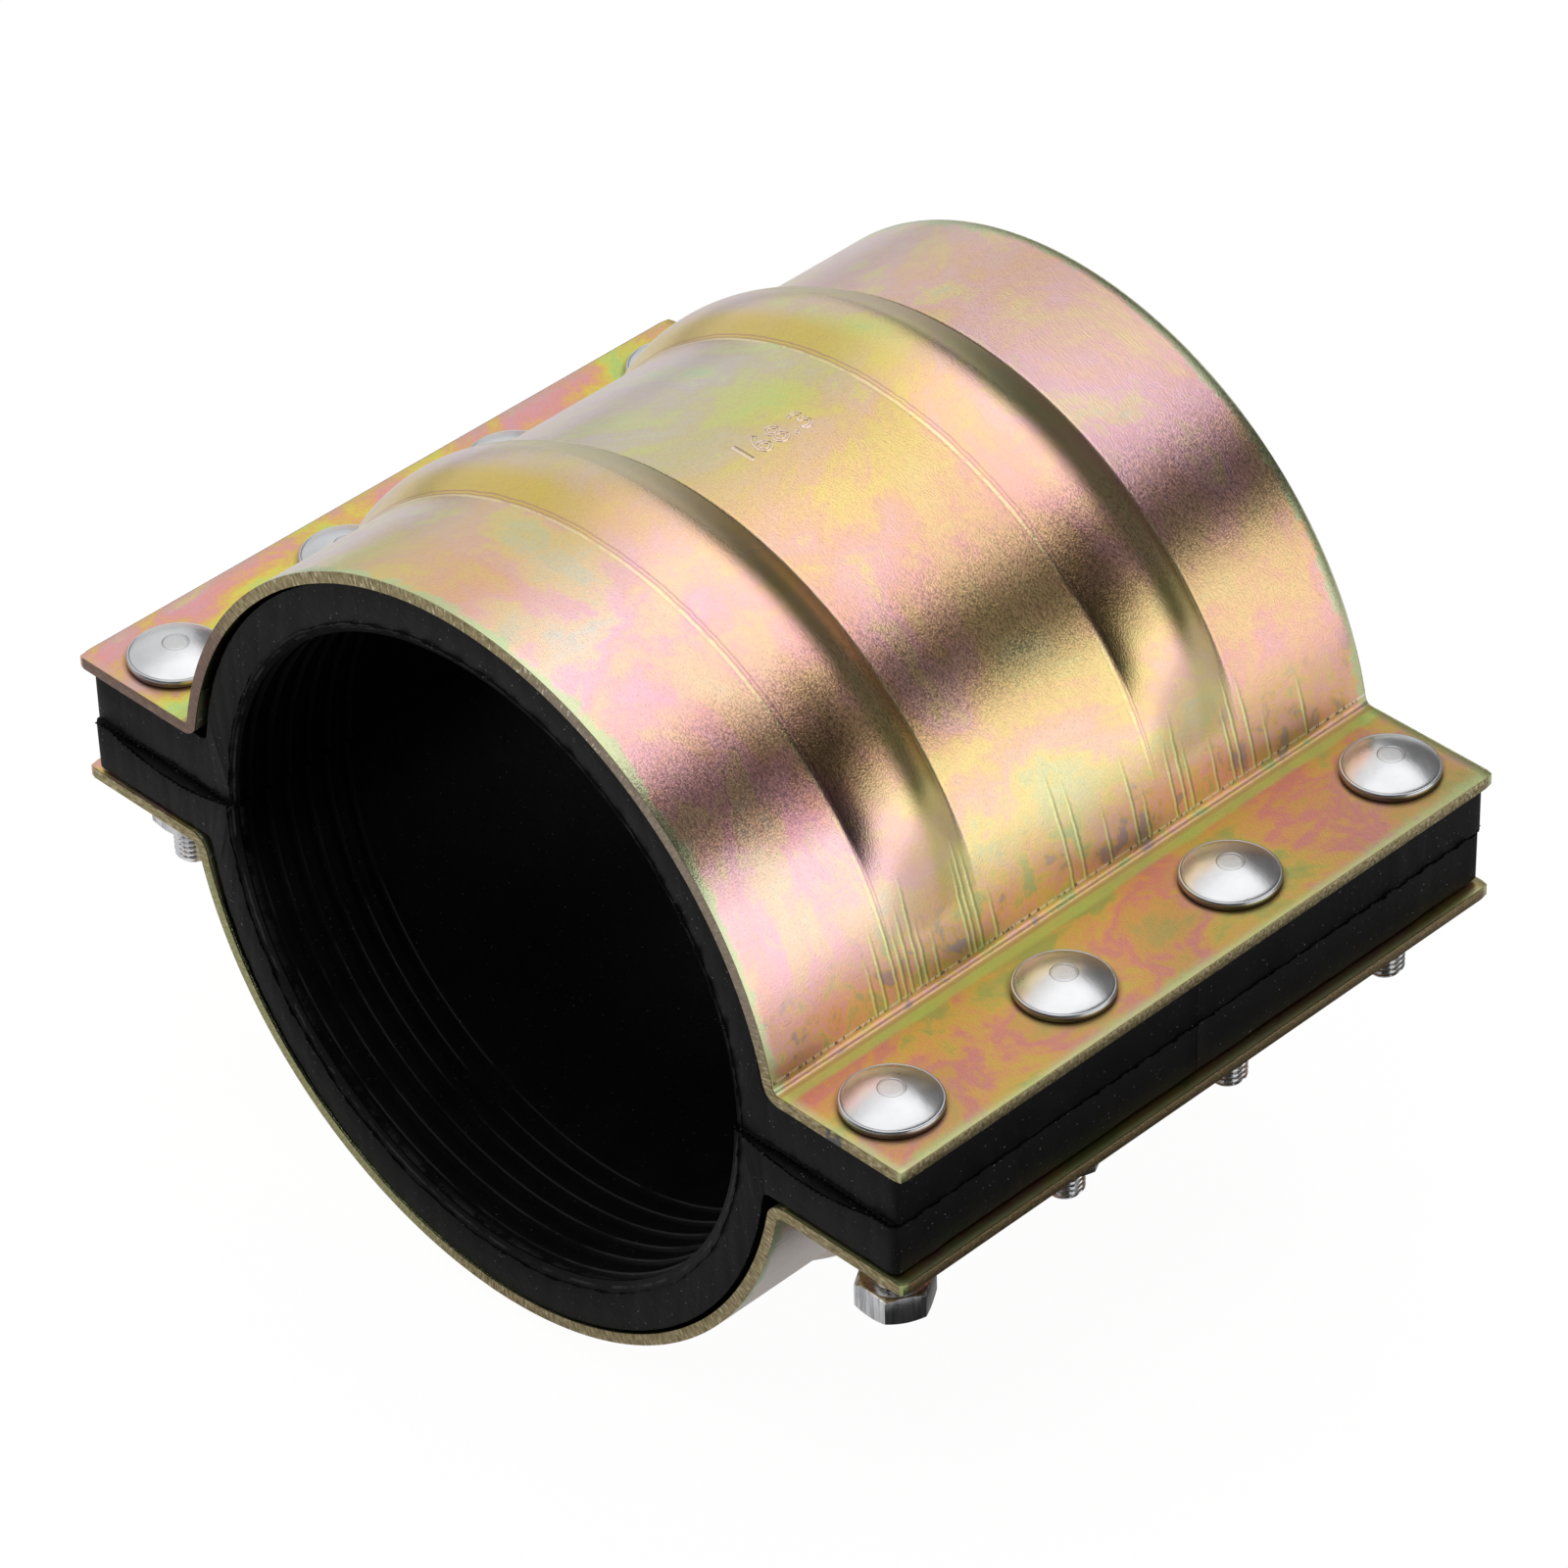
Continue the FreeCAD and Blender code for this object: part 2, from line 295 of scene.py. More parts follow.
# %% Copy it for the lower half, and cut the holes
def hole_cutters(shape, size, z, depth=8 * MM):
    """One mesh of eight cutters, for the bolt holes. size is a square's side or a round hole's radius."""
    cutters = []
    for side in SIDES.values():
        for y in ROWS:
            place = (side * BOLT_X, y, z)
            select_only()
            if shape == "square":
                bpy.ops.mesh.primitive_cube_add(size=size, location=place)
            else:
                bpy.ops.mesh.primitive_cylinder_add(vertices=40, radius=size, depth=depth, location=place)
            cutters.append(bpy.context.object)
    return join(cutters)


lower_shell = copy_of(upper_shell, "lower_half_shell", lambda p: (-p.x, p.y, -p.z))
middle = (FLANGE_TOP + FLANGE_UNDER) / 2
cut(upper_shell, hole_cutters("square", SQUARE_HOLE, middle))
cut(lower_shell, hole_cutters("round", ROUND_HOLE, -middle))
for shell, node in ((upper_shell, "upper_shell"), (lower_shell, "lower_shell")):
    soften(shell, 0.35 * MM, degrees=50)
    smooth(shell, 35)
    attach(shell, "clamp")
    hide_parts(node)
    print(shell.name, "faces", len(shell.data.polygons))

# %% [markdown]
# ## The rubber halves
# Each half of the sleeve is moulded in one piece: a half ring with a flat foot on both sides. Its back
# follows the sheet, and its bore has round grooves near both ends, which leave ridges that bite on the
# pipe. It is pressed from a block as the sheet is, with one list of points for the back and one for the
# bore. Rubber is never quite true, so the edges get a little uneven wave and ragged flash.

# %% Outlines of a rubber half
BORE = 85 * MM
BACK = 95.5 * MM
RISE = 2.7 * MM
FOOT = 0.2 * MM
RUBBER_EDGE = 137 * MM
ROOT_RADIUS = 2.5 * MM
RUBBER_HOLE = 7.5 * MM
GROOVE_FIRST, GROOVE_STEP, GROOVE_WIDE, GROOVE_DEEP = 1.6 * MM, 6.4 * MM, 3.4 * MM, 1.2 * MM
HOLLOW_X, HOLLOW_HALF, HOLLOW_RUN = 109 * MM, 21 * MM, 7 * MM
# The rubber's flanges are uneven from here out: above, and on the parting face
UNEVEN_ABOVE, UNEVEN_BELOW = 110 * MM, 118 * MM
# Name, way up, flange's top, front end, rear end, depth of the hollows in the parting face, seed
HALVES = [("upper", 1, 15 * MM, -98.5 * MM, 100.3 * MM, 0.8 * MM, 1),
          ("lower", -1, 13.8 * MM, -99.5 * MM, 99.5 * MM, 3.2 * MM, 4)]


def rubber_outlines(flange_top):
    """Two lists of (x, z, angle), as long as each other: the back and the bore side."""
    height = flange_top + ROOT_RADIUS - RISE
    root_x = math.sqrt((BACK + ROOT_RADIUS) ** 2 - height ** 2)
    root_angle = math.atan2(height, root_x)
    back = [(x, flange_top, 0) for x in evenly(RUBBER_EDGE, root_x, 30)[:-1]]
    for k in range(7):
        a = -math.pi / 2 - (math.pi / 2 - root_angle) * k / 6
        back.append((root_x + ROOT_RADIUS * math.cos(a), flange_top + ROOT_RADIUS * (1 + math.sin(a)), 0))
    flange_points = len(back) + 3
    for a in evenly(root_angle, math.pi / 2, 70)[1:]:
        back.append((BACK * math.cos(a), RISE + BACK * math.sin(a), 0))
    bore_start = math.asin(FOOT / BORE)
    bore = [(x, FOOT, 0) for x in evenly(RUBBER_EDGE, BORE, flange_points)[:-1]]
    bore += [(BORE * math.cos(a), BORE * math.sin(a), a)
             for a in evenly(bore_start, math.pi / 2, len(back) - flange_points - 1)]
    both = []
    for half in (back, bore):
        both.append(half + [(-x, z, math.pi - a if a else 0) for x, z, a in reversed(half[:-1])])
    return both


def rubber_rows(front, rear):
    """Places along the pipe: four for each groove, and a few about the middle seam."""
    rows = [front, rear]
    for end, inward in ((front, 1), (rear, -1)):
        rows += [end + inward * d * MM for d in (0.5, 1.1)]
        for k in range(6):
            rows += [end + inward * (GROOVE_FIRST + k * GROOVE_STEP + d * MM) for d in (0, 0.5, 1.7, 2.9, 3.4)]
    rows += evenly(front + 40 * MM, rear - 40 * MM, 24)
    rows += [d * MM for d in (-0.5, -0.2, 0, 0.2, 0.5)]
    return sorted(set(rows))


print("rubber columns", [len(points) for points in rubber_outlines(HALVES[0][2])])


# %% Mould the rubber halves
def groove_at(from_end):
    """Depth of the bore's grooves at this distance from the nearer end."""
    for k in range(6):
        inside = from_end - GROOVE_FIRST - k * GROOVE_STEP
        if -0.001 * MM <= inside <= GROOVE_WIDE + 0.001 * MM:
            slope = min(inside, GROOVE_WIDE - inside) / (0.5 * MM)
            return GROOVE_DEEP * max(0.0, min(1.0, slope))
    return 0.0


def wave(seed, t):
    """A small uneven wave, the same in each run, about -1 to 1."""
    return (0.5 * math.sin(t * 1.7 + seed * 5.1) + 0.3 * math.sin(t * 4.3 + seed * 2.3)
            + 0.2 * math.sin(t * 9.7 + seed))


def mould_rubber(name, flange_top, front, rear, hollow, seed):
    """The upper rubber's shape. hollow is how deep its parting face is hollow at the ends."""
    back, bore = rubber_outlines(flange_top)
    rows = rubber_rows(front, rear)
    middle_y, half = (front + rear) / 2, (rear - front) / 2

    def trimmed(x, y):
        x, y = corner_trim(x, y - middle_y, RUBBER_EDGE, half, 2 * MM)
        return x, y + middle_y

    def pushed_in(y, t):
        """The place along the pipe, with the ends set in a little unevenly."""
        at_end = min(y - front, rear - y) < 0.8 * MM
        return y + (abs(0.25 * MM * wave(seed, t)) if at_end else 0.0) * (1 if y < 0 else -1)

    def moved_out(x, y, start, uneven):
        """The place across, with the outer edge uneven and the mould's seam in its middle."""
        edge = (abs(x) - start) / (RUBBER_EDGE - start)
        seam = 0.35 * MM * max(0.0, 1 - abs(y) / (0.5 * MM))
        return x + math.copysign(edge * (0.3 * MM * uneven + seam), x)

    def back_point(column, row):
        x, z, _ = back[column]
        x, y = trimmed(x, rows[row])
        if abs(x) > UNEVEN_ABOVE:
            z += 0.22 * MM * wave(seed + 1, y / (14 * MM))
            x = moved_out(x, y, UNEVEN_ABOVE, wave(seed + 2, y / (11 * MM)))
        return Vector((x, pushed_in(y, column * 0.35), z))

    def bore_point(column, row):
        x, z, a = bore[column]
        x, y = trimmed(x, rows[row])
        from_end = min(y - front, rear - y)
        if a:
            lip = (2.5 + 0.3 * wave(seed, a * 14)) * MM * max(0.0, 1 - from_end / (1.1 * MM))
            radius = BORE + max(groove_at(from_end), lip)
            x, z = radius * math.cos(a), radius * math.sin(a)
        else:
            across = (abs(x) - HOLLOW_X) / HOLLOW_HALF
            run = max(0.0, 1 - from_end / HOLLOW_RUN)
            if abs(across) < 1:
                ragged = 1 + 0.22 * wave(seed + 5, abs(x) / (3 * MM))
                z += hollow * (1 - across * across) * run * ragged
            if abs(x) > UNEVEN_BELOW:
                z += 0.10 * MM * (1 + wave(seed + 3, y / (9 * MM) + abs(x) / (5 * MM)))
                x = moved_out(x, y, UNEVEN_BELOW, wave(seed + 4, y / (12 * MM)))
        return Vector((x, pushed_in(y, column * 0.35 + 2), z))

    return press_block(name, len(back) - 1, len(rows) - 1, back_point, bore_point)


rubbers = []
for half_name, up, flange_top, front, rear, hollow, seed in HALVES:
    rubber = mould_rubber(f"{half_name}_rubber_half", flange_top, front, rear, hollow, seed)
    node = f"{half_name}_gasket"
    for v in rubber.data.vertices:
        v.co.x, v.co.z = up * v.co.x, up * v.co.z
    cut(rubber, hole_cutters("round", RUBBER_HOLE, up * 7.6 * MM, 22 * MM))
    soften(rubber, 0.7 * MM, degrees=40, segments=3)
    smooth(rubber, 35)
    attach(rubber, "clamp")
    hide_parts(node)
    rubbers.append(rubber)
    print(rubber.name, "faces", len(rubber.data.polygons))


# %% [markdown]
# ## Flash on the rubber
# Rubber creeps out where the mould closes, and is torn off by hand. What stays is a thin ragged fin along
# the bore's mouth and along the parting faces. A fin is a grid one step wide, laid along the mould line,
# with an uneven reach at each step, and a solidify modifier gives it thickness.

# %% Ragged fins
def ragged_fin(path, outward, reach, seed):
    """A thin strip. path and outward give a point and a direction for a share of the way, 0 to 1."""
    select_only()
    bpy.ops.mesh.primitive_grid_add(x_subdivisions=360, y_subdivisions=1, size=1)
    piece = start_mesh("fin")
    for v in piece.data.vertices:
        share = v.co.x + 0.5
        torn = max(0.0, 0.35 + wave(seed, share * 110)) * (0.6 + 0.4 * wave(seed + 7, share * 9))
        ragged = 0.15 + 0.85 * torn
        v.co = path(share) + outward(share).normalized() * (reach * ragged if v.co.y > 0 else -0.5 * MM)
    modify(piece, "SOLIDIFY", thickness=0.14 * MM)
    return piece


def bore_fin(up, y, forward, seed):
    """Along the mouth of the bore. up is 1 for the upper half and -1 for the lower one."""
    def path(share):
        a = up * (0.01 + (math.pi - 0.02) * share)
        radius = BORE + (2.7 + 0.3 * wave(seed, share * 40)) * MM
        return Vector((radius * math.cos(a), y, radius * math.sin(a)))

    def outward(share):
        a = up * math.pi * share
        return Vector((-0.35 * math.cos(a), forward, -0.35 * math.sin(a)))
    return ragged_fin(path, outward, 0.8 * MM, seed)


def seam_fin(side, up, y, forward, hollow, seed):
    """Along the end of a parting face, over the shallow hollow there."""
    def path(share):
        x = 86 * MM + 50 * MM * share
        across = (x - HOLLOW_X) / HOLLOW_HALF
        z = FOOT + hollow * max(0.0, 1 - across * across)
        return Vector((side * x, y, up * z))
    return ragged_fin(path, lambda share: Vector((0, forward, -0.3 * up)), 0.9 * MM, seed)


def side_fin(side, up, front, rear, seed):
    """Along the outer edge of a parting face."""
    def path(share):
        return Vector((side * RUBBER_EDGE, front + (rear - front) * share, up * 0.35 * MM))
    return ragged_fin(path, lambda share: Vector((side, 0, 0)), 0.8 * MM, seed)


flashes = []
for half_name, up, _, front, rear, hollow, _ in HALVES:
    fins = [bore_fin(up, front, -1, 3 + up), bore_fin(up, rear, 1, 8 + up)]
    for side in SIDES.values():
        fins.append(seam_fin(side, up, front, -1, hollow, 11 + side + 3 * up))
        fins.append(seam_fin(side, up, rear, 1, hollow, 21 + side + 3 * up))
        fins.append(side_fin(side, up, front + 2 * MM, rear - 2 * MM, 31 + side + 3 * up))
    flash = join(fins)
    flash.name = flash.data.name = f"{half_name}_rubber_flash"
    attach(flash, "clamp")
    flashes.append(flash)
    print(flash.name, "faces", len(flash.data.polygons))

# %% [markdown]
# ## Carriage bolts
# A carriage bolt has a low domed head, a short square neck that locks in the flange's square hole, and
# a rolled thread. The head and the shank are turned: a ring of points is raised and scaled, step by step,
# as a lathe tool would leave it. The thread is a groove that climbs 1.5 mm a turn, so each ring of the
# shank is moved in by where the groove is on that side. A screw modifier would also make it, but then
# the thread would not fade out at its ends. One bolt is made and copied.

# %% Turned pieces
def turned_piece(name, rings, sides, shape):
    """A closed piece round Z with so many rings. shape gives (radius, z) for a ring and an angle."""
    select_only()
    bpy.ops.mesh.primitive_cylinder_add(vertices=sides, radius=1, depth=1, end_fill_type="NGON")
    piece = start_mesh(name)
    with editing("DESELECT"):
        pass
    # Only the flat end is selected, and each extrude leaves its new end selected for the next one
    for polygon in piece.data.polygons:
        polygon.select = abs(polygon.normal.z) > 0.9 and polygon.center.z > 0
    with editing(None):
        for step in range(rings - 2):
            bpy.ops.mesh.extrude_region_move(TRANSFORM_OT_translate={"value": (0, 0, 1)})
    for v in piece.data.vertices:
        ring = round(v.co.z + 0.5)
        angle = math.atan2(v.co.y, v.co.x)
        radius, z = shape(ring, angle)
        v.co = (radius * math.cos(angle), radius * math.sin(angle), z)
    return piece


# %% The bolt's head
HEAD_RADIUS = 12.3 * MM
HEAD_HEIGHT = 5.2 * MM
BOLT_RADIUS = 5 * MM
BOLT_LENGTH = 60 * MM
PITCH = 1.5 * MM
RIM_FOOT, RIM_WIDTH, DOME_FOOT = 0.5 * MM, 0.85 * MM, 2.1 * MM
RIM = [(0, 1.5), (0.1, 1.8), (0.32, 2.0), (0.58, 2.04), (0.7, 1.96)]


def head_profile():
    """From the underside's middle, out round the rim and over the dome, to the mark on its crown."""
    points = [(BOLT_RADIUS, 0), (HEAD_RADIUS - RIM_FOOT, 0)]
    for a in (-1.2, -0.8, -0.4, 0):
        points.append((HEAD_RADIUS - RIM_FOOT * (1 - math.cos(a)), RIM_FOOT * (1 + math.sin(a))))
    points += [(HEAD_RADIUS - inward * MM, z * MM) for inward, z in RIM]
    rise = HEAD_HEIGHT - DOME_FOOT
    reach = HEAD_RADIUS - RIM_WIDTH
    ball = (reach ** 2 + rise ** 2) / (2 * rise)
    mark = 3.3 * MM
    for r in evenly(reach, mark, 14):
        points.append((r, HEAD_HEIGHT - ball + math.sqrt(ball ** 2 - r ** 2)))
    top = points[-1][1]
    points += [(mark - 0.15 * MM, top - 0.10 * MM), (mark - 0.4 * MM, top - 0.05 * MM)]
    points += [(r, top + 0.1 * MM * (1 - r / mark)) for r in evenly(mark - 0.6 * MM, 0.2 * MM, 5)]
    return points


HEAD_POINTS = head_profile()
head = turned_piece("bolt_head", len(HEAD_POINTS), 72, lambda ring, angle: HEAD_POINTS[ring])
print("head rings", len(HEAD_POINTS))

# %% The threaded shank
THREAD_LENGTH = 32 * MM
THREAD_DEPTH = 0.86 * MM
STEPS_A_TURN = 8
SHANK_RINGS = 4 + int(THREAD_LENGTH / PITCH * STEPS_A_TURN)


def thread_radius(z, angle):
    """Radius of the rolled thread: flat crests, a rounded root, and a pointed start at the tip."""
    along = ((z / PITCH) - angle / math.tau) % 1.0
    groove = max(0.0, 1 - abs(along - 0.5) / 0.44)
    depth = THREAD_DEPTH * min(1.0, groove * 1.15)
    fade = max(0.0, min(1.0, (THREAD_LENGTH - z) / (2 * PITCH)))
    chamfer = BOLT_RADIUS - 1.15 * MM + max(0.0, z) * 0.95
    return min(BOLT_RADIUS - depth * fade, chamfer)


def shank_shape(ring, angle):
    if ring == 0:
        return 0.3 * MM, 0.0
    if ring >= SHANK_RINGS - 2:
        z = BOLT_LENGTH - 0.1 * MM if ring == SHANK_RINGS - 1 else THREAD_LENGTH + 1 * MM
        return BOLT_RADIUS, z
    z = (ring - 1) * PITCH / STEPS_A_TURN
    return thread_radius(z, angle), z


shank = turned_piece("bolt_shank", SHANK_RINGS, 48, shank_shape)
for v in shank.data.vertices:
    v.co.z -= BOLT_LENGTH
print("shank rings", SHANK_RINGS)

# %% Join the neck, and set a copy in each hole
select_only()
bpy.ops.mesh.primitive_cube_add(size=1, location=(0, 0, -2.4 * MM), scale=(10 * MM, 10 * MM, 5 * MM))
neck = start_mesh("bolt_neck")
bpy.ops.object.transform_apply(location=True, rotation=False, scale=True)
soften(neck, 0.5 * MM)
bolt_pattern = join([head, shank, neck])
smooth(bolt_pattern, 32)
bolts = []
for side_name, side in SIDES.items():
    for number, y in enumerate(ROWS, start=1):
        node = f"bolt_{side_name}_{number}"
        bolt = copy_of(bolt_pattern, f"carriage_{node}",
                       lambda p: (p.x + side * BOLT_X, p.y + y, p.z + FLANGE_TOP))
        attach(bolt, "clamp")
        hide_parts(node)
        bolts.append(bolt)
bpy.data.objects.remove(bolt_pattern)
print("bolts", len(bolts), "faces each", len(bolts[0].data.polygons))

# %% [markdown]
# ## Hex nuts
# A nut is a slice of hexagon bar with both ends turned down at 30 degrees, which leaves the curved
# bevels on its corners. A six-sided cylinder is crossed with a turned blank in a boolean modifier, which
# gives those curves by themselves. A second boolean drills it, with a bevelled mouth at both ends.

# %% Make one nut
NUT_WIDTH = 17 * MM
NUT_HEIGHT = 8 * MM
corner = NUT_WIDTH / math.sqrt(3)
face_radius = NUT_WIDTH / 2 * 0.96
drop = (corner - face_radius) * math.tan(math.radians(30))


def nut_tool(name, points, sides):
    """A turned piece from a list of (radius, height), for cutting the nut."""
    return turned_piece(name, 4, sides, lambda ring, angle: (points[ring][0], points[ring][1] - NUT_HEIGHT / 2))


select_only()
bpy.ops.mesh.primitive_cylinder_add(vertices=6, radius=corner, depth=NUT_HEIGHT, rotation=(0, 0, math.pi / 2))
bpy.ops.object.transform_apply(location=False, rotation=True, scale=False)
nut_pattern = start_mesh("nut_pattern")
clear = 0.02 * MM
blank_points = [(face_radius, 0), (corner + clear, drop), (corner + clear, NUT_HEIGHT - drop),
                (face_radius, NUT_HEIGHT)]
cut(nut_pattern, nut_tool("nut_blank", blank_points, 96), "INTERSECT")
drill, mouth = BOLT_RADIUS + 0.075 * MM, 1.6 * MM
drill_points = [(drill + mouth, -1 * MM), (drill, 0.6 * MM), (drill, NUT_HEIGHT - 0.6 * MM),
                (drill + mouth, NUT_HEIGHT + 1 * MM)]
cut(nut_pattern, nut_tool("nut_drill", drill_points, 48))
soften(nut_pattern, 0.18 * MM, degrees=25)
smooth(nut_pattern, 30)
print("nut faces", len(nut_pattern.data.polygons))

# %% Set the nuts where the frame has them
nuts = []
for side_name, side in SIDES.items():
    for number, y in enumerate(ROWS, start=1):
        node = f"nut_{side_name}_{number}"
        low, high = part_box(node)
        z = (low.z + high.z) / 2
        nut = copy_of(nut_pattern, f"hex_{node}", lambda p: (p.x + side * BOLT_X, p.y + y, p.z + z))
        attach(nut, node)
        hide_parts(node)
        nuts.append(nut)
bpy.data.objects.remove(nut_pattern)
print("nuts", len(nuts), "faces each", len(nuts[0].data.polygons))

# %% [markdown]
# ## Building materials from nodes
# Every finish here is a node tree, and each effect that has a name of its own is a node group. The classes
# below hold the words for both: a word adds a node and gives back its socket. A group takes the place on
# the object and hands out colours and masks by name. Lengths inside the trees are in metres, as the scene's
# are. A soft step whose first limit is the larger one runs downwards.

# %% Words for nodes
class Nodes:
    """A node tree. The values that its words take may be numbers, colours or sockets."""

    def __init__(self, tree):
        self.tree = tree

    def give(self, socket, value):
        """Links a socket to an input, or sets the input's own number or colour."""
        if isinstance(value, bpy.types.NodeSocket):
            self.tree.links.new(value, socket)
        elif isinstance(value, tuple) and len(socket.default_value) == 4:
            socket.default_value = (*value, 1)
        else:
            socket.default_value = value

    def add(self, kind, inputs=None, **settings):
        node = self.tree.nodes.new(kind)
        for key, value in settings.items():
            setattr(node, key, value)
        for key, value in (inputs or {}).items():
            self.give(node.inputs[key], value)
        return node

    def calc(self, operation, *values, clamp=False):
        node = self.add("ShaderNodeMath", dict(enumerate(values)), operation=operation, use_clamp=clamp)
        return node.outputs[0]

    def chain(self, operation, first, *others):
        for other in others:
            first = self.calc(operation, first, other)
        return first

    times = partialmethod(chain, "MULTIPLY")
    plus = partialmethod(chain, "ADD")
    largest = partialmethod(chain, "MAXIMUM")
    minus = partialmethod(calc, "SUBTRACT")
    times_plus = partialmethod(calc, "MULTIPLY_ADD")
    size = partialmethod(calc, "ABSOLUTE")
    above = partialmethod(calc, "GREATER_THAN")
    below = partialmethod(calc, "LESS_THAN")
    near = partialmethod(calc, "COMPARE")

    def distance(self, x, y):
        return self.calc("SQRT", self.plus(self.calc("POWER", x, 2.0), self.calc("POWER", y, 2.0)))

    def step(self, value, low, high):
        """0 below low and 1 above high, with a soft change between."""
        return self.add("ShaderNodeMapRange", {"Value": value, "From Min": low, "From Max": high},
                        interpolation_type="SMOOTHSTEP").outputs["Result"]

    def split(self, vector):
        return self.add("ShaderNodeSeparateXYZ", {"Vector": vector}).outputs[:]

    def stretch(self, vector, scale, offset=(0, 0, 0)):
        return self.add("ShaderNodeMapping", {"Vector": vector, "Scale": scale, "Location": offset}).outputs[0]

    def noise(self, vector, scale, detail=2.0, roughness=0.5, distortion=0.0):
        return self.add("ShaderNodeTexNoise", {"Vector": vector, "Scale": scale, "Detail": detail,
                                               "Roughness": roughness, "Distortion": distortion}).outputs["Fac"]

    def ramp(self, value, stops):
        """A colour ramp. stops is a list of (place, (r, g, b))."""
        node = self.add("ShaderNodeValToRGB", {"Fac": value})
        elements = node.color_ramp.elements
        while len(elements) < len(stops):
            elements.new(0.5)
        for element, (place, colour) in zip(elements, stops):
            element.position = place
            element.color = (*colour, 1)
        return node.outputs["Color"]

    def mix(self, factor, first, second):
        return self.add("ShaderNodeMix", {"Factor": factor, 6: first, 7: second}, data_type="RGBA").outputs[2]

    def layers(self, colour, *rows):
        """Lays colours over each other. A row is a mask, how much of the layer shows there, and its colour."""
        for mask, share, layer in rows:
            colour = self.mix(mask if share == 1 else self.times(mask, share), colour, layer)
        return colour

    def arch_share(self, x, z):
        """Place round the arch: 0 at the right foot, 0.5 on the crown and 1 at the left foot."""
        return self.calc("DIVIDE", self.calc("ARCTAN2", self.size(z), x), math.pi)

    def from_bolt(self, x, y):
        """Distance from the nearest bolt's axis. The rows lie evenly, so the place along the pipe is folded."""
        along = self.calc("PINGPONG", self.plus(y, -ROWS[0]), (ROWS[1] - ROWS[0]) / 2)
        return self.distance(along, self.minus(self.size(x), BOLT_X))


class Group(Nodes):
    """A node group that takes a place and some numbers, and hands out a colour or numbers."""

    def __init__(self, name, **numbers):
        super().__init__(bpy.data.node_groups.new(name, "ShaderNodeTree"))
        new_socket = self.tree.interface.new_socket
        new_socket(name="Vector", in_out="INPUT", socket_type="NodeSocketVector")
        for label, value in numbers.items():
            new_socket(name=label, in_out="INPUT", socket_type="NodeSocketFloat").default_value = value
        self.given = self.tree.nodes.new("NodeGroupInput").outputs
        self.place = self.given["Vector"]

    def hand_out(self, **results):
        for label in results:
            kind = "NodeSocketColor" if label == "Color" else "NodeSocketFloat"
            self.tree.interface.new_socket(name=label, in_out="OUTPUT", socket_type=kind)
        out = self.tree.nodes.new("NodeGroupOutput")
        for label, value in results.items():
            self.tree.links.new(value, out.inputs[label])
        print("group", self.tree.name, "gives", *results)


class Finish(Nodes):
    """A material with a Principled shader."""

    def __init__(self, name):
        self.material = bpy.data.materials.new(name)
        self.material.use_nodes = True
        super().__init__(self.material.node_tree)
        self.place = self.add("ShaderNodeTexCoord").outputs["Object"]

    def use(self, group, **numbers):
        node = self.add("ShaderNodeGroup", node_tree=group.tree)
        for label, value in {"Vector": self.place, **numbers}.items():
            self.give(node.inputs[label], value)
        return node.outputs

    def bump(self, height, strength, distance):
        inputs = {"Height": height, "Strength": strength, "Distance": distance}
        return self.add("ShaderNodeBump", inputs).outputs["Normal"]

    def shine(self, **values):
        for label, value in values.items():
            self.give(self.tree.nodes["Principled BSDF"].inputs[label.replace("_", " ")], value)

    def paint(self, *pieces):
        for piece in pieces:
            piece.data.materials.clear()
            piece.data.materials.append(self.material)
        print("material", self.material.name, "nodes", len(self.tree.nodes), "pieces", len(pieces))


# %% [markdown]
# ## Yellow zinc plating
# The shells are zinc plated and dipped in a yellow passivation. Its film is so thin that it shows
# interference colours: gold, pink and green clouds that run into each other, with no clear edge. Cloud
# noise with a colour ramp gives them. A second ramp follows the angle round the pipe; its colours are partly
# the film's hue and partly painted reflection, the lighter and darker bands that the lamps leave round the
# arch. Rolled steel has a fine grain as well.

# %% Group: passivation clouds
CLOUD_STOPS = [(0.30, (0.58, 0.80, 0.34)), (0.38, (0.90, 0.80, 0.22)), (0.44, (0.96, 0.70, 0.26)),
               (0.49, (0.96, 0.52, 0.44)), (0.54, (0.94, 0.52, 0.66)), (0.59, (0.94, 0.80, 0.34)),
               (0.65, (0.56, 0.84, 0.58)), (0.72, (0.90, 0.80, 0.24))]
clouds = g = Group("passivation_clouds", Size=16.0, Swirl=0.6)
broad = g.noise(g.place, g.given["Size"], 6.0, 0.6, g.given["Swirl"])
patchy = g.noise(g.stretch(g.place, (1, 0.7, 1), (3, 1, 2)), 110.0, 5.0, 0.65, 0.6)
g.hand_out(Color=g.ramp(g.plus(g.times(broad, 0.8), g.times(patchy, 0.2)), CLOUD_STOPS), Shade=patchy)
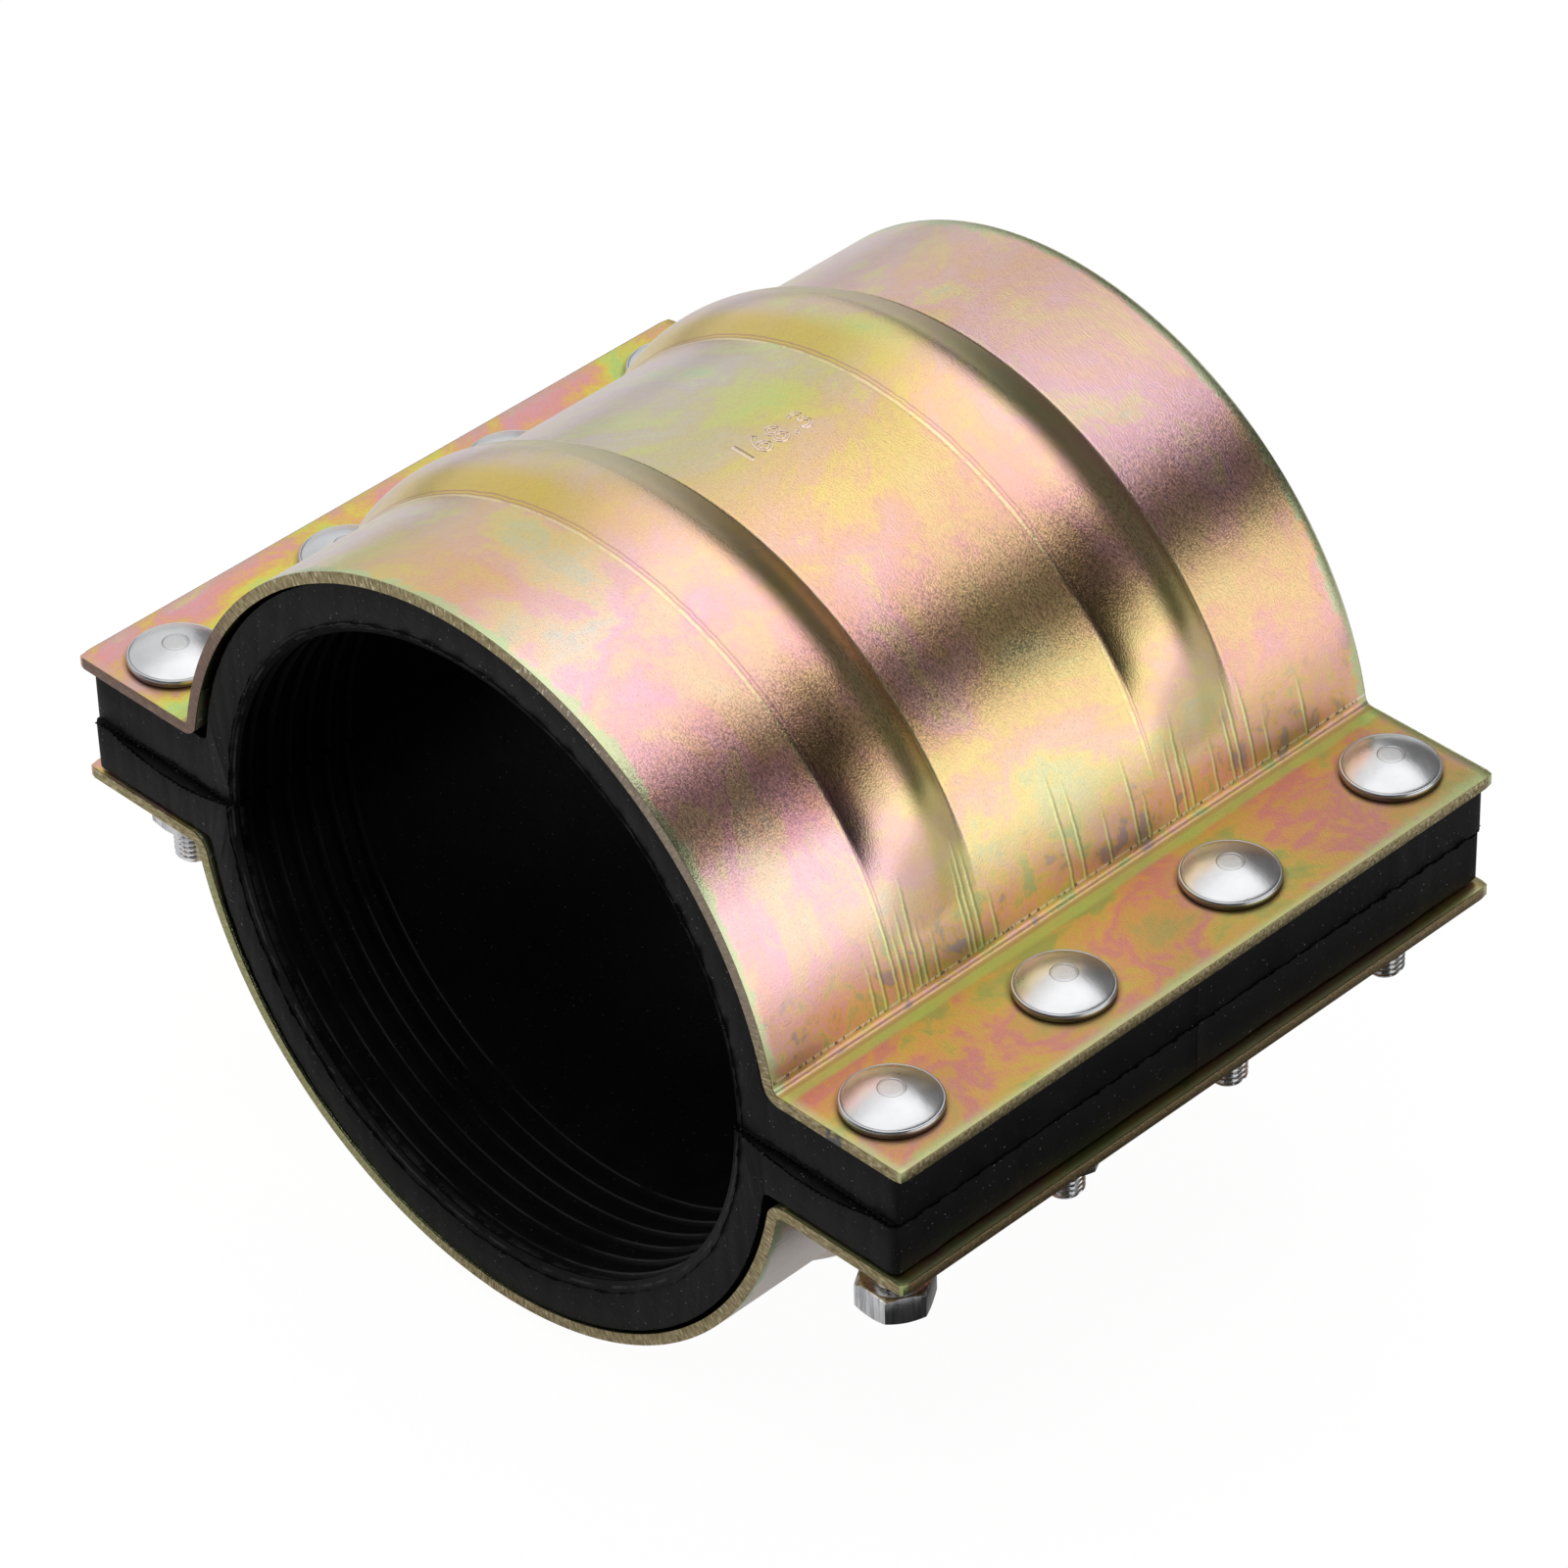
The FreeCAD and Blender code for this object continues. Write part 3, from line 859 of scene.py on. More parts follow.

# %% [markdown]
# The sheet was hung up to drain, so the film differs between its two ends and its middle. Three ramps
# round the arch give that: rose at the front end, yellow and green in the middle, dusky pink at the rear.
# Round the arch their stops also hold painted reflection: lighter and darker bands where the lamps' reflections
# fall.
# Noise moves the places where they change, so that no edge runs straight.

# %% Group: hue and painted reflection bands round the arch
# The stops are the film's hue, and in part painted reflection bands round the arch
FRONT_STOPS = [(0.00, (0.80, 0.62, 0.28)), (0.07, (0.84, 0.44, 0.34)), (0.12, (0.93, 0.56, 0.58)),
               (0.19, (0.93, 0.68, 0.66)), (0.24, (0.80, 0.36, 0.36)), (0.29, (0.80, 0.40, 0.34)),
               (0.33, (0.94, 0.54, 0.58)), (0.42, (0.95, 0.64, 0.66)), (0.50, (0.90, 0.57, 0.28)),
               (0.57, (0.76, 0.60, 0.24)), (0.63, (0.76, 0.72, 0.38)), (0.69, (0.82, 0.85, 0.80)),
               (0.80, (0.86, 0.70, 0.66)), (1.00, (0.80, 0.66, 0.34))]
MIDDLE_STOPS = [(0.00, (0.74, 0.62, 0.24)), (0.07, (0.90, 0.60, 0.22)), (0.14, (0.92, 0.72, 0.34)),
                (0.20, (0.94, 0.66, 0.38)), (0.26, (0.80, 0.46, 0.30)), (0.32, (0.92, 0.50, 0.44)),
                (0.37, (0.95, 0.58, 0.40)), (0.43, (0.93, 0.66, 0.30)), (0.48, (0.82, 0.72, 0.24)),
                (0.52, (0.64, 0.78, 0.30)), (0.59, (0.58, 0.74, 0.48)), (0.66, (0.80, 0.85, 0.80)),
                (0.80, (0.84, 0.74, 0.56)), (1.00, (0.70, 0.74, 0.30))]
REAR_STOPS = [(0.00, (0.68, 0.56, 0.34)), (0.08, (0.84, 0.50, 0.36)), (0.14, (0.92, 0.52, 0.44)),
              (0.20, (0.90, 0.56, 0.38)), (0.26, (0.66, 0.38, 0.34)), (0.32, (0.82, 0.52, 0.54)),
              (0.38, (0.88, 0.62, 0.58)), (0.46, (0.88, 0.64, 0.56)), (0.52, (0.88, 0.64, 0.42)),
              (0.60, (0.80, 0.66, 0.48)), (0.66, (0.84, 0.76, 0.68)), (0.72, (0.88, 0.84, 0.84)),
              (0.82, (0.84, 0.66, 0.60)), (1.00, (0.76, 0.70, 0.36))]
arch_hue_and_painted_bands = g = Group("arch_hue_and_painted_bands", Wander=0.1)
x, y, z = g.split(g.place)
drift = g.times(g.minus(g.noise(g.place, 24.0, 6.0, 0.62, 0.5), 0.5), g.given["Wander"])
share = g.plus(g.arch_share(x, z), drift)
along = g.plus(y, g.times(drift, 0.12))
hue = g.mix(g.step(along, -0.066, -0.028), g.ramp(share, FRONT_STOPS), g.ramp(share, MIDDLE_STOPS))
hue = g.mix(g.step(along, 0.030, 0.062), hue, g.ramp(share, REAR_STOPS))
g.hand_out(Color=hue)

# %% [markdown]
# ## Marks of the press
# Where the legs were drawn over the die, scratches run down to the bend, mostly below the ribs. Each one
# is a narrow streak of greener film with a dark side. They stand at uneven places, so they are a short
# list: place along the pipe, and height where the streak starts, in millimetres. Noise alone would only
# give even hatching. A broken dark line of fine nicks runs along the bend itself.

# %% Group: draw marks
DRAW_MARKS = [(-66.5, 30), (-63.2, 36), (-59, 40), (-56.8, 34), (-54.6, 38), (-51.8, 44), (-49.9, 33),
              (-46, 28), (-35.6, 40), (-33.9, 45), (-31.8, 42), (-27, 29), (-1.6, 44), (2.6, 40), (11.5, 30),
              (20.8, 38), (24.6, 29), (34, 36), (37.2, 41), (39.6, 33), (48, 30), (53.8, 36), (56.4, 42),
              (60.8, 39), (66, 28), (79, 32)]
MARK_WIDTH = 0.7 * MM
MARK_FADE = 9 * MM
draw_marks = g = Group("draw_marks")
x, y, z = g.split(g.place)
height = g.size(z)
ragged = g.minus(g.noise(g.place, 320.0, 3.0, 0.6), 0.5)
place_y = g.times_plus(ragged, 0.8 * MM, y)
streak, edge = 0.0, 0.0
for mark_y, top in DRAW_MARKS:
    across = g.minus(place_y, mark_y * MM)
    fade = g.calc("DIVIDE", g.minus((top + 5) * MM, height), MARK_FADE, clamp=True)
    light = g.near(across, 0.0, MARK_WIDTH / 2)
    dark = g.near(across, MARK_WIDTH, MARK_WIDTH / 2)
    streak = g.largest(streak, g.times(light, fade))
    edge = g.largest(edge, g.times(dark, fade))
on_leg = g.times(g.step(height, 0.0200, 0.0206), g.above(x, 0.0))
hatching = g.noise(g.stretch(g.place, (0.2, 1, 0.2)), 700.0, 2.0, 0.6)
bend_line = g.near(g.times_plus(hatching, -1.6 * MM, height), 0.0196, 0.0004)
g.hand_out(Streak=g.times(streak, on_leg), Edge=g.times(edge, on_leg),
           Near=g.times(g.step(hatching, 0.52, 0.60), bend_line))

# %% [markdown]
# The flanges have a film of their own: a darker, stronger gold on the right with pink and green patches,
# and more green on the left. The film also gathers in a lime border along the sheet's edges and in a faint
# ring round each bolt head. A lime line along the bend's foot is a painted highlight, and a dark ring on the
# sheet against each head is a painted contact shadow.

# %% Group: flange film
RIGHT_STOPS = [(0.38, (0.44, 0.47, 0.15)), (0.44, (0.72, 0.50, 0.13)), (0.49, (0.76, 0.40, 0.18)),
               (0.53, (0.72, 0.30, 0.28)), (0.58, (0.72, 0.42, 0.15)), (0.65, (0.52, 0.44, 0.16))]
LEFT_STOPS = [(0.36, (0.48, 0.74, 0.34)), (0.42, (0.70, 0.84, 0.22)), (0.47, (0.92, 0.78, 0.14)),
              (0.52, (0.95, 0.58, 0.20)), (0.57, (0.95, 0.44, 0.40)), (0.63, (0.90, 0.46, 0.52)),
              (0.69, (0.92, 0.66, 0.34))]
flange_film = g = Group("flange_film")
x, y, z = g.split(g.place)
reach_x = g.size(x)
on_right = g.above(x, 0.0)
wisps = g.noise(g.stretch(g.place, (1.3, 1, 1), (0.4, 0.9, 0.2)), 27.0, 7.0, 0.64, 0.4)
outward = g.times(g.minus(reach_x, 0.126), 2.2)
outward = g.plus(outward, g.times(g.step(y, -0.060, -0.090), 0.05))
film = g.mix(on_right, g.ramp(g.plus(wisps, outward), LEFT_STOPS), g.ramp(wisps, RIGHT_STOPS))
from_bolt = g.from_bolt(x, y)
halo = g.step(g.times_plus(wisps, 0.008, from_bolt), 0.0225, 0.0165)
# Painted contact shadow: a dark ring on the flange round the foot of each head
painted_contact_shadow = g.step(g.times_plus(wisps, 0.002, from_bolt), 0.0150, 0.0128)
border = g.largest(g.minus(reach_x, HALF_WIDTH - HALF_LENGTH), g.size(y))
border = g.step(g.times_plus(wisps, 0.008, border), 0.1000, 0.1038)
# Painted highlight: a lime line along the flange just outside the bend
painted_foot_highlight = g.step(g.times_plus(wisps, 0.003, reach_x), 0.1072, 0.1055)
fillet = g.step(reach_x, 0.1026, 0.1018)
film = g.layers(film, (halo, 0.15, (0.50, 0.60, 0.18)), (painted_contact_shadow, 0.7, (0.20, 0.11, 0.06)),
                (border, g.times_plus(on_right, 0.5, 0.25), (0.55, 0.68, 0.34)),
                (painted_foot_highlight, 0.85, (0.58, 0.72, 0.22)), (fillet, 0.9, (0.60, 0.44, 0.18)))
low = g.step(g.size(z), 0.0210, 0.0200)
g.hand_out(Color=film, Mask=g.times(g.step(reach_x, 0.1006, 0.1010), low), Bend=fillet)

# %% [markdown]
# The sheet is sheared to size, and the cut edges take the film unevenly: olive gold, with fine lines
# across the sheet from the blade. Angle and distance from the pipe are used as coordinates there, so
# that the lines stay square to the sheet all round the arch. Each stretch of the edge has its own tone,
# the crown has bright burrs, and one spot near the front right corner is worn to bare steel.

# %% Group: sheared edge
EDGE_STOPS = [(0.30, (0.16, 0.12, 0.06)), (0.45, (0.32, 0.26, 0.13)), (0.55, (0.46, 0.38, 0.21)),
              (0.72, (0.82, 0.72, 0.50))]
EDGE_START, EDGE_FULL = 0.35 * MM, 0.1 * MM
sheared_edge = g = Group("sheared_edge")
x, y, z = g.split(g.place)
turn = g.times(g.calc("ARCTAN2", z, x), SHELL_OUTER)
polar = g.add("ShaderNodeCombineXYZ", {"X": turn, "Y": g.times(y, 0.9), "Z": g.times(g.distance(x, z), 0.3)})
shear_lines = g.noise(polar.outputs[0], 1300.0, 3.0, 0.7)
stain = g.noise(g.place, 45.0, 4.0, 0.6)
left_leg = g.times(g.step(g.times_plus(stain, 0.02, x), -0.066, -0.078), g.step(z, 0.0, 0.010))
right_arch = g.times(g.step(x, 0.010, 0.040), g.step(z, 0.020, 0.040))
lower_arch = g.times(g.step(z, -0.014, -0.030), g.step(x, 0.0, -0.040))
low_side = g.times(g.above(x, 0.139), g.below(z, 0.0))
burr = g.times(g.step(shear_lines, 0.60, 0.66), g.step(z, 0.075, 0.090))
worn_and_painted_highlight = g.times(g.near(x, 0.1190, 0.0025), g.times(g.step(y, -0.0992, -0.0997), g.above(z, 0.0)))
worn_and_painted_highlight = g.times(worn_and_painted_highlight, g.step(g.noise(g.place, 500.0, 3.0), 0.40, 0.50))
edge_colour = g.layers(g.ramp(shear_lines, EDGE_STOPS), (left_leg, 0.75, (0.21, 0.12, 0.12)),
                       (right_arch, 0.6, (0.34, 0.27, 0.25)), (lower_arch, 0.5, (0.46, 0.50, 0.24)),
                       (low_side, 0.6, (0.24, 0.16, 0.08)), (burr, 1, (0.95, 0.92, 0.72)),
                       (worn_and_painted_highlight, 1, (0.16, 0.15, 0.15)))
at_edge = g.largest(g.step(g.size(y), HALF_LENGTH - EDGE_START, HALF_LENGTH - EDGE_FULL),
                    g.step(g.size(x), HALF_WIDTH - EDGE_START, HALF_WIDTH - EDGE_FULL))
g.hand_out(Color=edge_colour, Mask=at_edge, Grain=shear_lines)

# %% [markdown]
# Along the crease at each rib's foot, where pressing stretched the sheet, a thin pale line is a painted
# highlight and the darker lines beside it are painted shade. The group also tells the rib's front slope from
# its rear one, for the material to colour with painted shade and reflection. All follow the place across the
# nearer rib, and fade out above the feet.

# %% Group: rib film
rib_film = g = Group("rib_film")
x, y, z = g.split(g.place)
across = g.plus(y, g.times_plus(g.above(y, 0.0), RIBS[0] - RIBS[1], RIBS[1]))
shaky = g.minus(g.noise(g.place, 260.0, 3.0, 0.6), 0.5)
line_place = g.times_plus(shaky, 0.0006, g.size(across))
over_feet = g.step(g.size(z), 0.030, 0.036)
# Painted highlight: a thin pale line along the crease
painted_crease_highlight = g.times(g.near(line_place, 0.0150, 0.0003), g.step(shaky, -0.14, 0.0))
# Painted shade: two darker lines beside the crease
dark = g.largest(g.near(line_place, 0.01435, 0.0002), g.near(line_place, 0.0136, 0.0002))
dark = g.times(dark, g.below(across, 0.0))
slope = g.times(g.step(across, 0.001, 0.006), g.step(across, 0.0150, 0.0142))
front = g.times(g.step(across, -0.003, -0.010), g.step(across, -0.0150, -0.0142))
g.hand_out(Pale=g.times(painted_crease_highlight, over_feet), Dark=g.times(dark, over_feet),
           Slope=g.times(slope, over_feet), Front=g.times(front, over_feet))

# %% [markdown]
# The material lays these over each other, from the broad clouds to the finest marks. The ribs' rear slopes
# are painted olive as shade and are dull, and their far front slopes are painted gold as a reflection. The
# legs are mottled above the bend, and the lower right flank is painted nearly white, as a reflection of the
# white floor. A scuffed band along the right shoulder has the coarsest grain, and its dark specks also deepen
# the shade of that band, as painted shade. A thin pale line just above the bend is a painted highlight. The
# places are shares of the arch or metres, read from the photo.

# %% Material: yellow zinc sheet
LEG_STOPS = [(0.36, (0.50, 0.58, 0.26)), (0.43, (0.88, 0.62, 0.20)), (0.48, (0.93, 0.53, 0.30)),
             (0.53, (0.88, 0.49, 0.44)), (0.57, (0.88, 0.54, 0.16)), (0.63, (0.50, 0.36, 0.38))]
g = Finish("yellow_zinc_sheet")
x, y, z = g.split(g.place)
height = g.size(z)
cloud = g.use(clouds, Size=17.0, Swirl=1.0)
arch = g.use(arch_hue_and_painted_bands, Wander=0.16)
marks, flange, rib, cut = [g.use(group) for group in (draw_marks, flange_film, rib_film, sheared_edge)]
share = g.arch_share(x, z)
before_foot = g.step(share, 0.84, 0.68)
# Painted shade: olive, dull colour on the ribs' rear slopes
painted_shade_rear_slope = g.times(rib["Slope"], before_foot)
# Painted reflection: gold on the ribs' far front slopes
painted_front_reflection = g.times(rib["Front"], g.times(g.step(share, 0.45, 0.56), before_foot))
painted_slope_shade = g.mix(g.step(share, 0.36, 0.56), (0.62, 0.56, 0.20), (0.84, 0.85, 0.64))
painted_slope_shade = g.mix(0.12, painted_slope_shade, cloud["Color"])
leg = g.step(height, 0.046, 0.024)
mottle = g.ramp(g.noise(g.place, 110.0, 5.0, 0.6, 0.4), LEG_STOPS)
# Painted reflection: the lower right flank nearly white, as the white floor mirrored there
painted_white_flank = g.times(g.step(z, -0.020, -0.030), g.step(x, 0.030, 0.060))
rim = g.step(g.times_plus(cloud["Shade"], 0.010, g.size(y)), 0.1016, 0.1036)
# Scuffed band with coarse grain; its dark specks are also painted shade deepening the dark band there
scuffed_and_shaded_band = g.times(g.step(share, 0.20, 0.25), g.step(share, 0.35, 0.29))
grain = g.noise(g.stretch(g.place, (0.8, 1.3, 0.8)), 2300.0, 2.0, 0.7)
speckle = g.noise(g.stretch(g.place, (0.5, 1.3, 0.5)), 2000.0, 2.0, 0.7)
dust = g.noise(g.stretch(g.place, (1, 0.5, 1)), 900.0, 4.0, 0.7)
# Painted highlight: a thin pale line along the leg just above the bend
painted_bend_highlight = g.near(height, 0.0207, 0.0003)
colour = g.layers(
    arch["Color"], (0.4, 1, cloud["Color"]), (painted_shade_rear_slope, 0.7, painted_slope_shade), (painted_front_reflection, 0.8, (0.90, 0.68, 0.16)),
    (rib["Dark"], 0.45, (0.55, 0.26, 0.30)), (rib["Pale"], 0.75, (0.98, 0.84, 0.46)), (leg, 0.85, mottle),
    (painted_white_flank, 0.85, (0.98, 0.98, 0.95)), (rim, 0.75, (0.58, 0.76, 0.42)),
    (flange["Mask"], 1, flange["Color"]),
    (g.step(speckle, 0.50, 0.60), g.times_plus(scuffed_and_shaded_band, 0.44, 0.05), (0.16, 0.10, 0.08)),
    (g.step(speckle, 0.46, 0.38), g.times(scuffed_and_shaded_band, 0.34), (1.0, 0.72, 0.50)),
    (g.step(grain, 0.50, 0.68), 0.12, (0.34, 0.22, 0.14)), (g.step(dust, 0.60, 0.72), 0.14, (0.26, 0.20, 0.12)),
    (painted_bend_highlight, 0.7, (1.0, 0.90, 0.86)), (marks["Near"], 0.85, (0.16, 0.13, 0.08)),
    (marks["Streak"], 0.8, (0.92, 0.94, 0.44)), (marks["Edge"], 0.55, (0.28, 0.28, 0.12)),
    (cut["Mask"], 1, cut["Color"]))
roughness = g.largest(g.times_plus(cloud["Shade"], 0.12, 0.15), g.times(leg, 0.36),
                      g.times(flange["Bend"], flange["Mask"], 0.5),
                      g.times(painted_shade_rear_slope, g.step(share, 0.27, 0.56), 0.6), g.times(cut["Mask"], 0.45))
relief = g.plus(g.times(grain, 0.5), marks["Near"], g.times(marks["Streak"], 0.7),
                g.times(cut["Grain"], g.times(cut["Mask"], 2.5)))
g.shine(Base_Color=colour, Roughness=roughness, Metallic=1.0, Normal=g.bump(relief, 0.6, 0.18 * MM))
g.paint(upper_shell, lower_shell)

# %% [markdown]
# ## Black rubber
# Moulded rubber is nearly black and only half dull. It has a slight unevenness from the mould, and it
# holds specks of pale dust and talc: the few highest points of a very fine noise. Low in the bore, pale
# lines on the edges of the lands between the grooves are painted highlights, and so is a pale line on the
# lip at the mouth. The bore's upper half is painted darker as shade, and hardly shines.

# %% Material: black rubber
g = Finish("black_rubber")
x, y, z = g.split(g.place)
uneven = g.noise(g.place, 90.0, 4.0, 0.6)
specks = g.step(g.noise(g.place, 1400.0, 1.0), 0.735, 0.77)
from_axis = g.distance(x, z)
inside = g.step(from_axis, 0.0873, 0.0868)
# Painted shade: the bore's upper half is darker
upper = g.times(inside, g.step(z, -0.030, 0.0))
from_end = g.minus(99.5 * MM - GROOVE_FIRST, g.size(y))
# Painted highlight: pale lines on the edges of the lands low in the bore
land_edge = g.near(g.calc("WRAP", from_end, GROOVE_STEP, 0.0), GROOVE_WIDE, 0.16 * MM)
worn_and_painted_highlight = g.times(land_edge, g.below(from_end, 0.036), inside, g.step(z, -0.010, -0.050),
               g.step(g.noise(g.place, 40.0, 3.0), 0.35, 0.55))
# Painted highlight along the lip at the bore's mouth
lip = g.times(g.near(from_axis, 0.0864, 0.0003), g.step(from_end, 0.0030, 0.0010),
              g.step(g.noise(g.place, 120.0, 4.0, 0.7), 0.42, 0.58))
colour = g.mix(uneven, (0.0030, 0.0030, 0.0034), (0.0090, 0.0090, 0.0100))
colour = g.layers(colour, (worn_and_painted_highlight, 0.35, (0.12, 0.12, 0.13)),
                  (specks, g.times_plus(inside, -0.3, 0.45), (0.5, 0.5, 0.5)),
                  (upper, 0.8, (0.001, 0.001, 0.001)), (lip, 0.4, (0.10, 0.10, 0.105)))
fine = g.plus(g.times(uneven, 3.0), g.noise(g.place, 700.0, 3.0, 0.6))
g.shine(Base_Color=colour, Roughness=g.times_plus(uneven, 0.2, 0.38),
        Specular_IOR_Level=g.times_plus(upper, -0.09, 0.11), Normal=g.bump(fine, 0.4, 0.2 * MM))
g.paint(*rubbers, *flashes)

# %% [markdown]
# ## Bright zinc on the bolts and nuts
# Fasteners are barrel plated: a bright, cool silver with a faint cloudy haze and small dents from
# tumbling against each other. The pressed mark on each head is paler and grittier, with a dark edge. The
# head's rim is greyer, with painted shade as a dark band at its foot. The nuts' sides show the streaks of
# drawn bar, darkened further as painted shade on those sides.

# %% Material: bright zinc
g = Finish("bright_zinc")
x, y, z = g.split(g.place)
haze = g.noise(g.place, 160.0, 3.0, 0.6)
drawn = g.noise(g.stretch(g.place, (1, 1, 0.06)), 900.0, 3.0, 0.65)
from_axis = g.from_bolt(x, y)
on_sides = g.times(g.step(z, -0.010, -0.020), g.step(from_axis, 0.0052, 0.0060))
# Streaks of drawn bar, darkened further as painted shade on the nuts' sides
drawn_streaks_and_shade = g.times(g.step(drawn, 0.46, 0.60), on_sides)
on_top = g.above(z, 0.0195)
disc = g.times(g.step(from_axis, 0.0034, 0.0032), on_top)
pale_grit = g.mix(g.noise(g.place, 3200.0, 2.0, 0.7), (0.58, 0.58, 0.59), (0.88, 0.88, 0.88))
disc_edge = g.times(g.near(from_axis, 0.00332, 0.00014), on_top)
notch = g.times(g.near(from_axis, 0.01155, 0.00013), on_top)
rim = g.times(g.step(from_axis, 0.0116, 0.0119), g.above(z, 0.0))
# Painted shade: a dark band at the foot of the head's rim
painted_rim_foot_shade = g.times(g.step(z, 0.0196, 0.0190), rim)
silver = g.layers(g.mix(haze, (0.68, 0.69, 0.71), (0.90, 0.90, 0.91)), (drawn_streaks_and_shade, 0.55, (0.26, 0.26, 0.28)),
                  (disc, 0.8, pale_grit), (rim, 1, (0.66, 0.68, 0.72)),
                  (g.largest(g.times(disc_edge, 0.4), g.times(notch, 0.5)), 1, (0.10, 0.10, 0.10)),
                  (painted_rim_foot_shade, 0.8, (0.06, 0.06, 0.06)))
rough = g.largest(g.times_plus(haze, 0.16, g.times_plus(on_top, 0.10, 0.12)), g.times(disc, 0.42))
g.shine(Base_Color=silver, Roughness=rough, Metallic=1.0,
        Normal=g.bump(g.noise(g.place, 420.0, 2.0, 0.5), 0.25, 0.2 * MM))
g.paint(*bolts, *nuts)

# %% [markdown]
# ## Stamped size
# The crown carries a small number, stamped in outline: the pipe's outside diameter in millimetres. A text
# object with no fill and a thin round bevel gives the outlines. It is made a mesh, laid along the pipe and
# wrapped round the arch. Its raised outline is coloured pale pink as a painted highlight.

# %% Stamp the number
select_only()
bpy.ops.object.text_add()
text = bpy.context.object
text.name = "stamped_size"
for key, value in dict(body="168.3", size=9.6 * MM, align_x="CENTER", align_y="CENTER", fill_mode="NONE",
                       bevel_depth=0.21 * MM, bevel_resolution=1, space_character=1.12).items():
    setattr(text.data, key, value)
bpy.ops.object.convert(target="MESH")
stamp = bpy.context.object
STAMP_ANGLE, STAMP_SHIFT, STAMP_SINK = math.radians(88), 1.3 * MM, 0.05 * MM
for v in stamp.data.vertices:
    angle = STAMP_ANGLE + v.co.y / SHELL_OUTER
    radius = SHELL_OUTER - STAMP_SINK + v.co.z
    v.co = (radius * math.cos(angle), v.co.x - STAMP_SHIFT, radius * math.sin(angle))
smooth(stamp, 60)
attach(stamp, "clamp")
# Painted highlight: the stamp's outline is pale pink
stamp_highlight = Finish("painted_highlight_outline")
stamp_highlight.shine(Base_Color=(1.0, 0.84, 0.82), Metallic=1.0, Roughness=0.22)
stamp_highlight.paint(stamp)

# %% [markdown]
# ## Floor, light and camera
# The object lies on a plain white floor. Large soft lamps above and beside it are what the metal mirrors:
# a broad band on the crown, a dark gap, and a second band low on the right. Where the object's own shadow
# would fall, at the right, the paper is dark to mirrored rays. Mirrored rays see mostly the lit paper, and
# camera rays mostly its glow.

# %% Floor
FLOOR_Z = -106.6 * MM


def stage_nodes(owner):
    """The emptied node tree of a material or a world, with its light path's outputs."""
    owner.use_nodes = True
    owner.node_tree.nodes.clear()
    nodes = Nodes(owner.node_tree)
    return nodes, nodes.add("ShaderNodeLightPath").outputs


select_only()
bpy.ops.mesh.primitive_plane_add(size=12, location=(0, 0, FLOOR_Z))
floor = start_mesh("floor")
floor_finish = bpy.data.materials.new("floor_white")
g, path = stage_nodes(floor_finish)
x, y, z = g.split(g.add("ShaderNodeTexCoord").outputs["Object"])
glowing = g.largest(g.times(path["Is Camera Ray"], 0.92), g.times(path["Is Glossy Ray"], 0.15))
from_side = g.distance(g.minus(x, 0.21), g.times(y, 0.5))
shade = g.times(g.step(from_side, 0.14, 0.07), path["Is Glossy Ray"])
paper = g.add("ShaderNodeBsdfDiffuse", {"Color": g.mix(shade, (0.95, 0.95, 0.95), (0.05, 0.05, 0.05))})
glow = g.add("ShaderNodeEmission", {"Color": (1, 1, 1), "Strength": 1.045})
glowing = g.times(glowing, g.minus(1.0, shade))
both = g.add("ShaderNodeMixShader", {0: glowing, 1: paper.outputs[0], 2: glow.outputs[0]})
g.add("ShaderNodeOutputMaterial", {"Surface": both.outputs[0]})
floor.data.materials.append(floor_finish)

# %% World
world = scene.world = bpy.data.worlds.new("studio")
g, path = stage_nodes(world)
x, y, z = g.split(g.add("ShaderNodeTexCoord").outputs["Generated"])
room_light = g.times_plus(g.step(y, 0.05, 0.5), 0.09, 0.025)
room = g.add("ShaderNodeBackground", {"Color": (1, 1, 1), "Strength": room_light})
white = g.add("ShaderNodeBackground", {"Color": (1, 1, 1), "Strength": 1.0})
both = g.add("ShaderNodeMixShader", {0: path["Is Camera Ray"], 1: room.outputs[0], 2: white.outputs[0]})
g.add("ShaderNodeOutputWorld", {"Surface": both.outputs[0]})


# %% Lamps
LAMP_DISTANCE = 2.2


